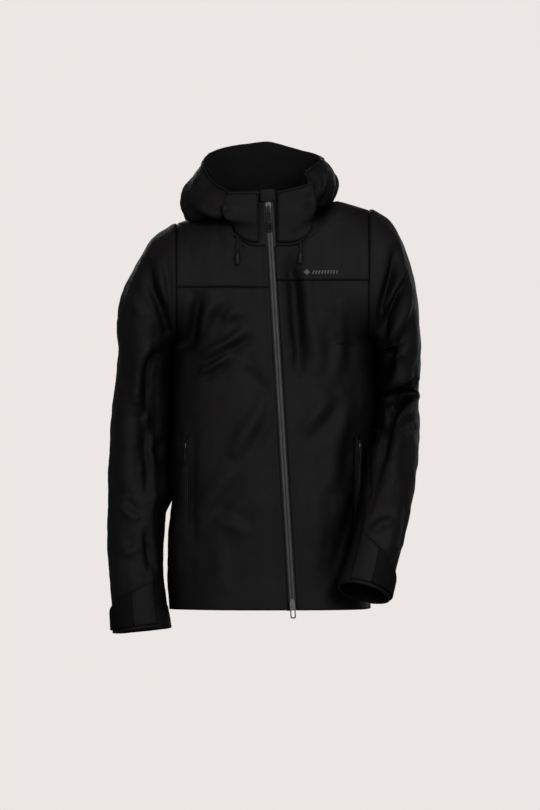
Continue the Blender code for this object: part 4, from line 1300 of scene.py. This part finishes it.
def plate(name, frame, outer, inner, low, high, material, body, slot, nodes=(), bevel=0.0003):
    """A flat plate from an outline of (across, up) points, with an optional hole, and bevelled edges."""
    place, across, up, out = frame
    at = lambda line, h: [place + across * x + up * y + out * h for x, y in line]
    if inner:
        points = at(outer, high) + at(inner, high) + at(inner, low) + at(outer, low)
        count = len(outer)
        faces = []
        for i in range(count):
            j = (i + 1) % count
            for k in range(4):
                a, b = k * count, (k + 1) % 4 * count
                faces.append((a + i, a + j, b + j, b + i))
    else:
        points = at(outer, high) + at(outer, low)
        count = len(outer)
        faces = [tuple(range(count)), tuple(range(2 * count - 1, count - 1, -1))]
        faces += [(i, i + count, (i + 1) % count + count, (i + 1) % count) for i in range(count)]
    return finished(name, points, faces, material, body, slot, nodes, bevel)


def sweep(name, path, radius, material, body, slot, nodes=(), sides=10):
    """A round cord along a smooth path, with domed ends."""
    path = np.array(path, float)
    knots = np.linspace(0, len(path) - 1, (len(path) - 1) * 8 + 1)
    line = along_rings(path, knots)
    runs = unit(np.gradient(line, axis=0))
    side = unit(np.cross(runs[0], [0.31, 0.2, 0.93]))
    turns = np.linspace(0, 2 * math.pi, sides, endpoint=False)
    grow = np.ones(len(line))
    grow[0] = grow[-1] = 0.45
    rings = []
    for centre, run, size in zip(line, runs, grow):
        side = unit(side - run * side.dot(run))
        circle = np.outer(np.cos(turns), side) + np.outer(np.sin(turns), np.cross(run, side))
        rings.append(centre + radius * size * circle)
    return finished(name, np.concatenate(rings), tube_faces(len(rings), sides), material, body, slot, nodes)


def strip_solid(frame, half, low, high, bottom, top, inset=0.0003):
    """Points and faces of a straight strip with softened edges, from bottom to top along the frame."""
    place, across, up, out = frame
    start, end = half
    section = [
        (start + inset, high), (end - inset, high), (end, high - inset), (end, low), (start, low),
        (start, high - inset),
    ]
    points = [place + across * x + out * y + up * z for z in (bottom, top) for x, y in section]
    count = len(section)
    faces = [tuple(range(count)), tuple(range(2 * count - 1, count - 1, -1))]
    faces += [(i, (i + 1) % count, (i + 1) % count + count, i + count) for i in range(count)]
    return points, faces


def merge(parts):
    """Points and faces of several parts as one."""
    points, faces = [], []
    for more_points, more_faces in parts:
        start = len(points)
        points += list(more_points)
        faces += [tuple(start + k for k in face) for face in more_faces]
    return points, faces


# ---------------------------------------------------------------- the front zip
ZIP_UP = unit(ZIP_TOP - ZIP_BOTTOM)
ZIP_LENGTH = float(np.linalg.norm(ZIP_TOP - ZIP_BOTTOM))
ZIP_ACROSS = unit(np.array([1.0, 0, 0]) - ZIP_UP * ZIP_UP[0])
ZIP_OUT = np.cross(ZIP_ACROSS, ZIP_UP)
ZIP_FOOT = -0.0040
STRIP_HALF = 0.0045
SLIT_HALF = 0.00030
TOOTH_PITCH = 0.0016
TOOTH_START = 0.006
TOP_SLIDER_ALONG = ZIP_LENGTH - 0.012
BOTTOM_SLIDER_ALONG = 0.010
HINGE_OUT = 0.0048


def zip_frame(along, out=0.0):
    return ZIP_BOTTOM + ZIP_UP * along + ZIP_OUT * out, ZIP_ACROSS, ZIP_UP, ZIP_OUT


def build_zip():
    frame = zip_frame(0.0)
    for side, name in SIDES:
        half = sorted((side * SLIT_HALF, side * STRIP_HALF))
        strip = strip_solid(frame, half, -0.0011, 0.0004, ZIP_FOOT, ZIP_LENGTH, 0.0006)
        half = sorted((side * SLIT_HALF, side * 0.0015))
        bead = strip_solid(frame, half, 0.0002, 0.00095, 0.003, ZIP_LENGTH - 0.002, 0.00035)
        laminate = merge([strip, bead])
        finished("zip_laminate_" + name, *laminate, LAMINATE, "jacket", "zip_laminate", ["zip_tape_" + name])
        half = sorted((side * 0.0006, side * (ZIP_HALF + 0.0030)))
        base = strip_solid(frame, half, -0.0022, -0.0012, ZIP_FOOT, ZIP_LENGTH)
        finished("zip_tape_base_" + name, *base, RUBBER, "jacket", "black_rubber")
        teeth = []
        half = sorted((side * -0.0005, side * 0.0028))
        start = TOOTH_START + (TOOTH_PITCH / 2 if side > 0 else 0.0)
        for k in range(int((ZIP_LENGTH - 0.012) / TOOTH_PITCH)):
            bottom = start + TOOTH_PITCH * k
            top = bottom + TOOTH_PITCH * 0.62
            teeth.append(strip_solid(frame, half, -0.0034, -0.0015, bottom, top, 0.0004))
        finished("zip_teeth_" + name, *merge(teeth), RUBBER, "jacket", "black_rubber", ["zip_coil_" + name])
    build_slider("top", TOP_SLIDER_ALONG)
    build_slider("bottom", BOTTOM_SLIDER_ALONG)
    build_top_pull()
    build_bottom_pull()


def slider_outline(half, length, shoulder, tail):
    """The shield outline of a zip slider, wide at the shoulders and narrower at its tail."""
    top, bottom = length / 2, -length / 2
    right = [(half * 0.45, top), (half * 0.85, top - 0.0012), (half, top - shoulder), (half * 0.96, 0.0)]
    right += [(tail, bottom + 0.0016), (tail * 0.8, bottom)]
    return [(-x, z) for x, z in right[::-1]] + right


def build_slider(name, along):
    """A zip slider: two shields joined by a post, with an arched bridge and an eye that hold the pull."""
    body = "zip_slider_" + name
    flip = 1 if name == "top" else -1
    place, across, up, out = zip_frame(along)
    look = (METAL, body, "dark_metal")
    face = (place, across * flip, up * flip, out)
    outline = slider_outline(0.0050, 0.0128, 0.0030, 0.0034)
    plate(body + "_shield", face, outline, None, 0.0009, 0.0023, *look, (body,), 0.0005)
    plate(body + "_back", face, outline, None, -0.0053, -0.0043, *look)
    post = [(-0.0005, 0.004), (0.0005, 0.004), (0.0005, 0.0062), (-0.0005, 0.0062)]
    plate(body + "_post", face, post, None, -0.0044, 0.0012, *look, (), 0.0001)
    rise = [(0.0045, 0.0016), (0.0040, 0.0030), (0.0022, 0.0034)]
    arch = [(-z, h) for z, h in rise] + [(0.0, 0.0035)] + rise[::-1]
    outline = arch + [(z * 0.72, h - 0.0011) for z, h in arch[::-1]]
    plate(body + "_bridge", (place, up * flip, out, across), outline, None, -0.0014, 0.0014, *look)
    eye = []
    for degrees in range(-100, 101, 25):
        turn = math.radians(degrees)
        eye.append(place + out * (0.0039 + 0.0010 * math.cos(turn)) + across * 0.0019 * math.sin(turn))
    sweep(body + "_eye", eye, 0.0004, *look)


def build_top_pull():
    """A moulded pull: a short link, a ribbed neck and a flat grip with a sunk panel."""
    body = "zip_pull_top"
    frame = zip_frame(TOP_SLIDER_ALONG, HINGE_OUT)
    sections = [(0.0005, 0.0014, 0.0005, 0.0), (-0.0010, 0.0021, 0.0009, 0.0)]
    sections += [(-0.0100, 0.0023, 0.0010, 0.0001)]
    for rib in range(4):
        z = -0.0118 - 0.0036 * rib
        sections += [(z, 0.0024, 0.0010, 0.0001), (z - 0.0006, 0.0040, 0.0013, 0.0003)]
        sections += [(z - 0.0020, 0.0041, 0.0013, 0.0003), (z - 0.0026, 0.0024, 0.0010, 0.0001)]
    grip = (
        (-0.0280, 0.0040, 0.0012), (-0.0310, 0.0046, 0.0013), (-0.0380, 0.0047, 0.0013),
        (-0.0430, 0.0045, 0.0012), (-0.0444, 0.0038, 0.0010), (-0.0450, 0.0024, 0.0006),
    )
    sections += [(*section, 0.0003) for section in grip]
    loft("zip_pull_top_grip", frame, sections, RUBBER, body, "black_rubber", (body,))
    sunk = rounded_plate(0.0030, -0.0415, -0.0300, 0.0022)
    look = (TAB_RUBBER, body, "black_rubber")
    plate("zip_pull_top_inset", frame, sunk, None, 0.0012, 0.0019, *look, (), 0.0002)


def build_bottom_pull():
    """A flat metal ring with a riveted end."""
    body = "zip_pull_bottom"
    frame = zip_frame(BOTTOM_SLIDER_ALONG, HINGE_OUT)
    place, across, up, out = frame
    look = (METAL, body, "dark_metal")
    outer = rounded_plate(0.0047, -0.0279, 0.0006, 0.0032)
    inner = rounded_plate(0.0027, -0.0258, -0.0130, 0.0024)
    plate("zip_pull_bottom_ring", frame, outer, inner, -0.0008, 0.0008, *look, (body,), 0.0005)
    rivet, radius = place + up * -0.0072 + out * 0.0009, 0.0017
    turns = np.linspace(0, 2 * math.pi, 13)
    circle = [rivet + up * radius * math.cos(turn) + across * radius * math.sin(turn) for turn in turns]
    sweep("zip_pull_bottom_rivet", circle, 0.0004, *look)


GARAGE_HALF = 0.0145


def build_chin_guard():
    """The zip garage: a small folded cloth cap over the top of the zip, stitched round."""
    u, v = grid(26, 22)
    x = mix(-GARAGE_HALF, GARAGE_HALF, u)
    z = mix(-0.004, 0.0165, v)
    corner = np.clip((np.abs(x) - GARAGE_HALF + 0.003) / 0.003, 0, 1)
    x = x * (1 - 0.06 * smooth((v - 0.8) / 0.2))
    dome = 0.0016 * (1 - (np.abs(x) / GARAGE_HALF) ** 2.5) * (0.7 + 0.3 * np.sin(math.pi * v))
    out = 0.0032 + dome - 0.0008 * corner
    points = ZIP_TOP + x[..., None] * ZIP_ACROSS + z[..., None] * ZIP_UP + out[..., None] * ZIP_OUT
    panel("chin_guard_flap", points, ["chin_guard"], 0.0022)
    for axis, end in ((1, False), (0, False), (0, True)):
        stitch(*seam_row(points, 0.0022, axis, end), "jacket")


# ---------------------------------------------------------------- pockets, marks and cords
POCKET_TURN = math.radians(56)
POCKET_Z = (0.130, 0.290)


def build_pocket(side, name):
    """A pocket zip on its welt: two laminated strips with beads, and a slider with a slim moulded pull."""
    turn = side * POCKET_TURN
    bottom, top = (torso(np.array(turn), np.array(z)) for z in POCKET_Z)
    before, after = (torso(np.array(turn + step), np.array(POCKET_Z[0])) for step in (-0.01, 0.01))
    up = unit(top - bottom)
    across = unit((after - before) - up * (after - before).dot(up))
    out = np.cross(across, up)
    length = float(np.linalg.norm(top - bottom))
    frame = (bottom + out * 0.0030, across, up, out)
    welt = rounded_plate(0.0098, -0.006, length + 0.006, 0.0040)
    look = (SHELL, "jacket", "shell_fabric")
    plate("pocket_welt_" + name, frame, welt, None, -0.0050, 0.0, *look, (), 0.0006)
    parts = []
    for edge in (-1, 1):
        half = sorted((edge * SLIT_HALF, edge * 0.0056))
        parts.append(strip_solid(frame, half, -0.0008, 0.0006, 0.0, length, 0.0004))
        bead = sorted((edge * SLIT_HALF, edge * 0.0014))
        parts.append(strip_solid(frame, bead, 0.0, 0.0011, 0.002, length - 0.002, 0.0003))
    zip_node = ["pocket_zip_" + name]
    finished("pocket_laminate_" + name, *merge(parts), RUBBER, "jacket", "zip_laminate", zip_node)
    body = "pocket_slider_" + name
    hung = (bottom + up * (length - 0.012) + out * 0.0048, across, up, out)
    head = rounded_plate(0.0038, -0.0040, 0.0062, 0.0020)
    plate("pocket_shield_" + name, hung, head, None, 0.0, 0.0012, METAL, body, "dark_metal", (body,), 0.0004)
    sections = (
        (0.0010, 0.0012, 0.0006, 0.0018), (-0.0060, 0.0014, 0.0007, 0.0018),
        (-0.0080, 0.0026, 0.0009, 0.0016), (-0.0200, 0.0034, 0.0010, 0.0014),
        (-0.0270, 0.0030, 0.0009, 0.0014), (-0.0298, 0.0018, 0.0006, 0.0014),
    )
    loft("pocket_pull_" + name, hung, sections, RUBBER, body, "black_rubber")


MARK_Z = 0.575


def build_mark():
    """A generic printed mark: a small lozenge and a row of plain bars, with no lettering."""
    shapes = [((0.052, 0.0), (0.058, 0.0052), (0.064, 0.0), (0.058, -0.0052))]
    for bar in range(9):
        x = 0.0672 + 0.0050 * bar
        shapes.append(((x, -0.0030), (x + 0.0016, 0.0032), (x + 0.0044, 0.0032), (x + 0.0028, -0.0030)))
    points, faces = [], []
    for shape in shapes:
        start = len(points)
        x, z = (np.array([corner[k] for corner in shape]) for k in (0, 1))
        z = z + MARK_Z
        turn = turn_at(x, z)
        nearby = ((0.0, 0.0), (1e-3, 0.0), (0.0, 1e-3))
        spot, beside, above = (torso(turn + aside, z + higher, np.array(False)) for aside, higher in nearby)
        normal = unit(np.cross(beside - spot, above - spot))
        lift = torso_lift(spot, True) + LAP_LIFT + 0.0004
        points += list(spot + normal * lift[:, None])
        faces.append(tuple(range(start, start + len(shape))))
    mark = new_object("chest_print", points, faces, MARK, False)
    tidy_normals(mark)
    depth_of_print = mark.modifiers.new("depth", "SOLIDIFY")
    depth_of_print.thickness = 0.0004
    depth_of_print.offset = 1
    place_piece(mark, "jacket", ("chest_mark",))


# Each drawcord's x, the height where it leaves the hood's seam and the height of its moulded end.
DRAWCORDS = {"right": (-0.060, 0.626, 0.606), "left": (0.047, 0.624, 0.608)}


def build_cords():
    """The hood's drawcords, hanging in front of the yoke with moulded ends."""
    ends = (
        (0.0002, 0.0014, 0.0012), (-0.0010, 0.0026, 0.0017), (-0.0030, 0.0030, 0.0019),
        (-0.0100, 0.0033, 0.0019), (-0.0160, 0.0035, 0.0019), (-0.0178, 0.0030, 0.0016),
        (-0.0186, 0.0018, 0.0009),
    )
    for side, name in SIDES:
        x, high, low = DRAWCORDS[name]
        body = "drawcord_" + name
        bend = 0.616
        y_high, y_bend, y_low = (-float(depth(z, False)) - 0.0058 for z in (high, bend, low))
        path = [(x, y_high + 0.004, high + 0.004), (x, y_high, high), (x + 0.0006 * side, y_bend, bend)]
        path += [(x, y_low, low), (x, y_low, low - 0.004)]
        sweep("drawcord_line_" + name, path, 0.0010, CORD, body, "black_rubber", ("drawcord_" + name,))
        frame = tuple(np.array(v) for v in ((x, y_low, low), (1.0, 0, 0), (0, 0, 1.0), (0, -1.0, 0)))
        sections = [(*section, 0) for section in ends]
        loft("cord_toggle_" + name, frame, sections, RUBBER, body, "black_rubber", ("cord_end_" + name,))


def build_inside():
    """The hanger loop, the plain label and the hem cord's locks."""
    centre = np.array([NECK_X, 0.048, 0.700])
    path = [(-0.028, -0.012), (-0.028, 0.001), (-0.024, 0.007), (-0.012, 0.0082), (0.0, 0.0084)]
    path += [(-x, z) for x, z in path[-2::-1]]
    u, v = grid(60, 4)
    line = along_rings(np.array([(x, 0.0, z) for x, z in path]), u * (len(path) - 1))
    points = centre + line + np.array([0, -1.0, 0]) * ((v - 0.5) * 0.006)[..., None]
    loop = grid_object("hanger_webbing", points[::-1], CORD, 0.0016)
    place_piece(loop, "jacket", ("hanger_loop",))
    turn, z = mix(math.radians(170), math.radians(190), u), mix(0.627, 0.653, v)
    base = torso(turn, z)
    label = grid_object("size_label", base - grid_normals(base) * 0.0048, LABEL, 0.0005)
    place_piece(label, "jacket", ("neck_label",))
    for _, name in SIDES:
        body = "hem_lock_" + name
        low, high = box_of(body)
        across, up, out = np.array([[0, 1.0, 0], [0, 0, 1.0], [1.0, 0, 0]])
        frame = ((low + high) / 2 - ORIGIN, across, up, out)
        outer = rounded_plate(0.0078, -0.0053, 0.0053, 0.0036)
        inner = rounded_plate(0.0030, -0.0022, 0.0022, 0.0020)
        look = (RUBBER, body, "black_rubber")
        plate("hem_toggle_" + name, frame, outer, inner, -0.0038, 0.0038, *look, (body,), 0.0008)


KEPT_NODES = {
    "storm_flap": LINING,
    "hem_facing": LINING,
    "hem_cord": CORD,
    "pocket_bag_right": LINING,
    "pocket_bag_left": LINING,
}


def finish_kept_nodes():
    """Gives the CAD solids that stay their finished materials."""
    for name, material in KEPT_NODES.items():
        for slot in NODES[name].material_slots:
            slot.link = "OBJECT"
            slot.material = material


# ---------------------------------------------------------------- studio
PAPER = (0.839, 0.799, 0.776, 1)
AIR = (0.92, 0.90, 0.93, 1)
AIR_STRENGTH = 0.14
FLOOR_Z = -0.86
FLOOR_HALF = 6.0
# Lights as (name, place, size, power), all aimed at the middle of the jacket.
LIGHTS = (
    ("key_light", (1.5, -4.1, 1.9), 1.1, 136),
    ("fill_light", (-1.9, -4.0, 1.1), 1.9, 46),
    ("top_light", (-0.3, -1.1, 3.3), 1.4, 9),
    ("rear_light", (-0.8, 4.4, 1.9), 1.6, 34),
    ("rear_fill_light", (1.6, 4.2, 1.0), 1.8, 16),
)
LIGHT_AIM = Vector((0.0, 0.0, 0.45))
CAMERA_AIM = (0.0096, -0.09, 0.392)
CAMERA_DISTANCE = 14.0


def studio():
    """Soft lights, a pale surround and a floor that melts into it."""
    for name, place, size, power in LIGHTS:
        data = bpy.data.lights.new(name, "AREA")
        data.size = size
        data.energy = power
        lamp = bpy.data.objects.new(name, data)
        lamp.location = place
        lamp.rotation_euler = (LIGHT_AIM - lamp.location).to_track_quat("-Z", "Y").to_euler()
        bpy.context.scene.collection.objects.link(lamp)
    bpy.context.scene.world = surround()
    add_floor()


def seen_by_camera(tree, paper, otherwise):
    """A shader that is paper where the camera sees it directly, and something else to all other rays."""
    rays = tree.nodes.new("ShaderNodeLightPath")
    choice = tree.nodes.new("ShaderNodeMixShader")
    tree.links.new(rays.outputs["Is Camera Ray"], choice.inputs[0])
    tree.links.new(otherwise.outputs[0], choice.inputs[1])
    tree.links.new(paper.outputs[0], choice.inputs[2])
    return choice.outputs[0]


def surround():
    """A world that the camera sees as white paper, and that lights the jacket only a little."""
    world = bpy.data.worlds.new("studio_world")
    world.use_nodes = True
    tree = world.node_tree
    paper = tree.nodes["Background"]
    paper.inputs["Color"].default_value = PAPER
    paper.inputs["Strength"].default_value = 1.0
    air = tree.nodes.new("ShaderNodeBackground")
    air.inputs["Color"].default_value = AIR
    air.inputs["Strength"].default_value = AIR_STRENGTH
    tree.links.new(seen_by_camera(tree, paper, air), tree.nodes["World Output"].inputs["Surface"])
    return world


def add_floor():
    """A pale floor where the wearer would stand. It looks like the surround and adds no light of its own."""
    material = bpy.data.materials.new("studio_floor")
    material.use_nodes = True
    tree = material.node_tree
    paper = tree.nodes.new("ShaderNodeEmission")
    paper.inputs["Color"].default_value = PAPER
    clear = tree.nodes.new("ShaderNodeBsdfTransparent")
    tree.links.new(seen_by_camera(tree, paper, clear), tree.nodes["Material Output"].inputs["Surface"])
    corners = [(x * FLOOR_HALF, y * FLOOR_HALF, FLOOR_Z) for x, y in ((-1, -1), (1, -1), (1, 1), (-1, 1))]
    mesh = bpy.data.meshes.new("studio_floor")
    mesh.from_pydata(corners, [], [(0, 1, 2, 3)])
    mesh.materials.append(material)
    floor = bpy.data.objects.new("studio_floor", mesh)
    bpy.context.scene.collection.objects.link(floor)


def add_camera():
    """A long lens, level and square to the jacket."""
    data = bpy.data.cameras.new("camera")
    data.lens = 366
    data.sensor_width = 36
    camera = bpy.data.objects.new("camera", data)
    camera.location = (CAMERA_AIM[0], CAMERA_AIM[1] - CAMERA_DISTANCE, CAMERA_AIM[2])
    camera.rotation_euler = (math.radians(90), 0, 0)
    bpy.context.scene.collection.objects.link(camera)
    bpy.context.scene.camera = camera


def main():
    build_torso()
    build_zip()
    build_chin_guard()
    for side, name in SIDES:
        build_pocket(side, name)
    build_mark()
    build_cords()
    build_inside()
    finish_kept_nodes()
    build_stitches()
    studio()
    add_camera()
    bpy.context.scene.view_settings.view_transform = "Standard"
    bpy.context.view_layer.update()


main()
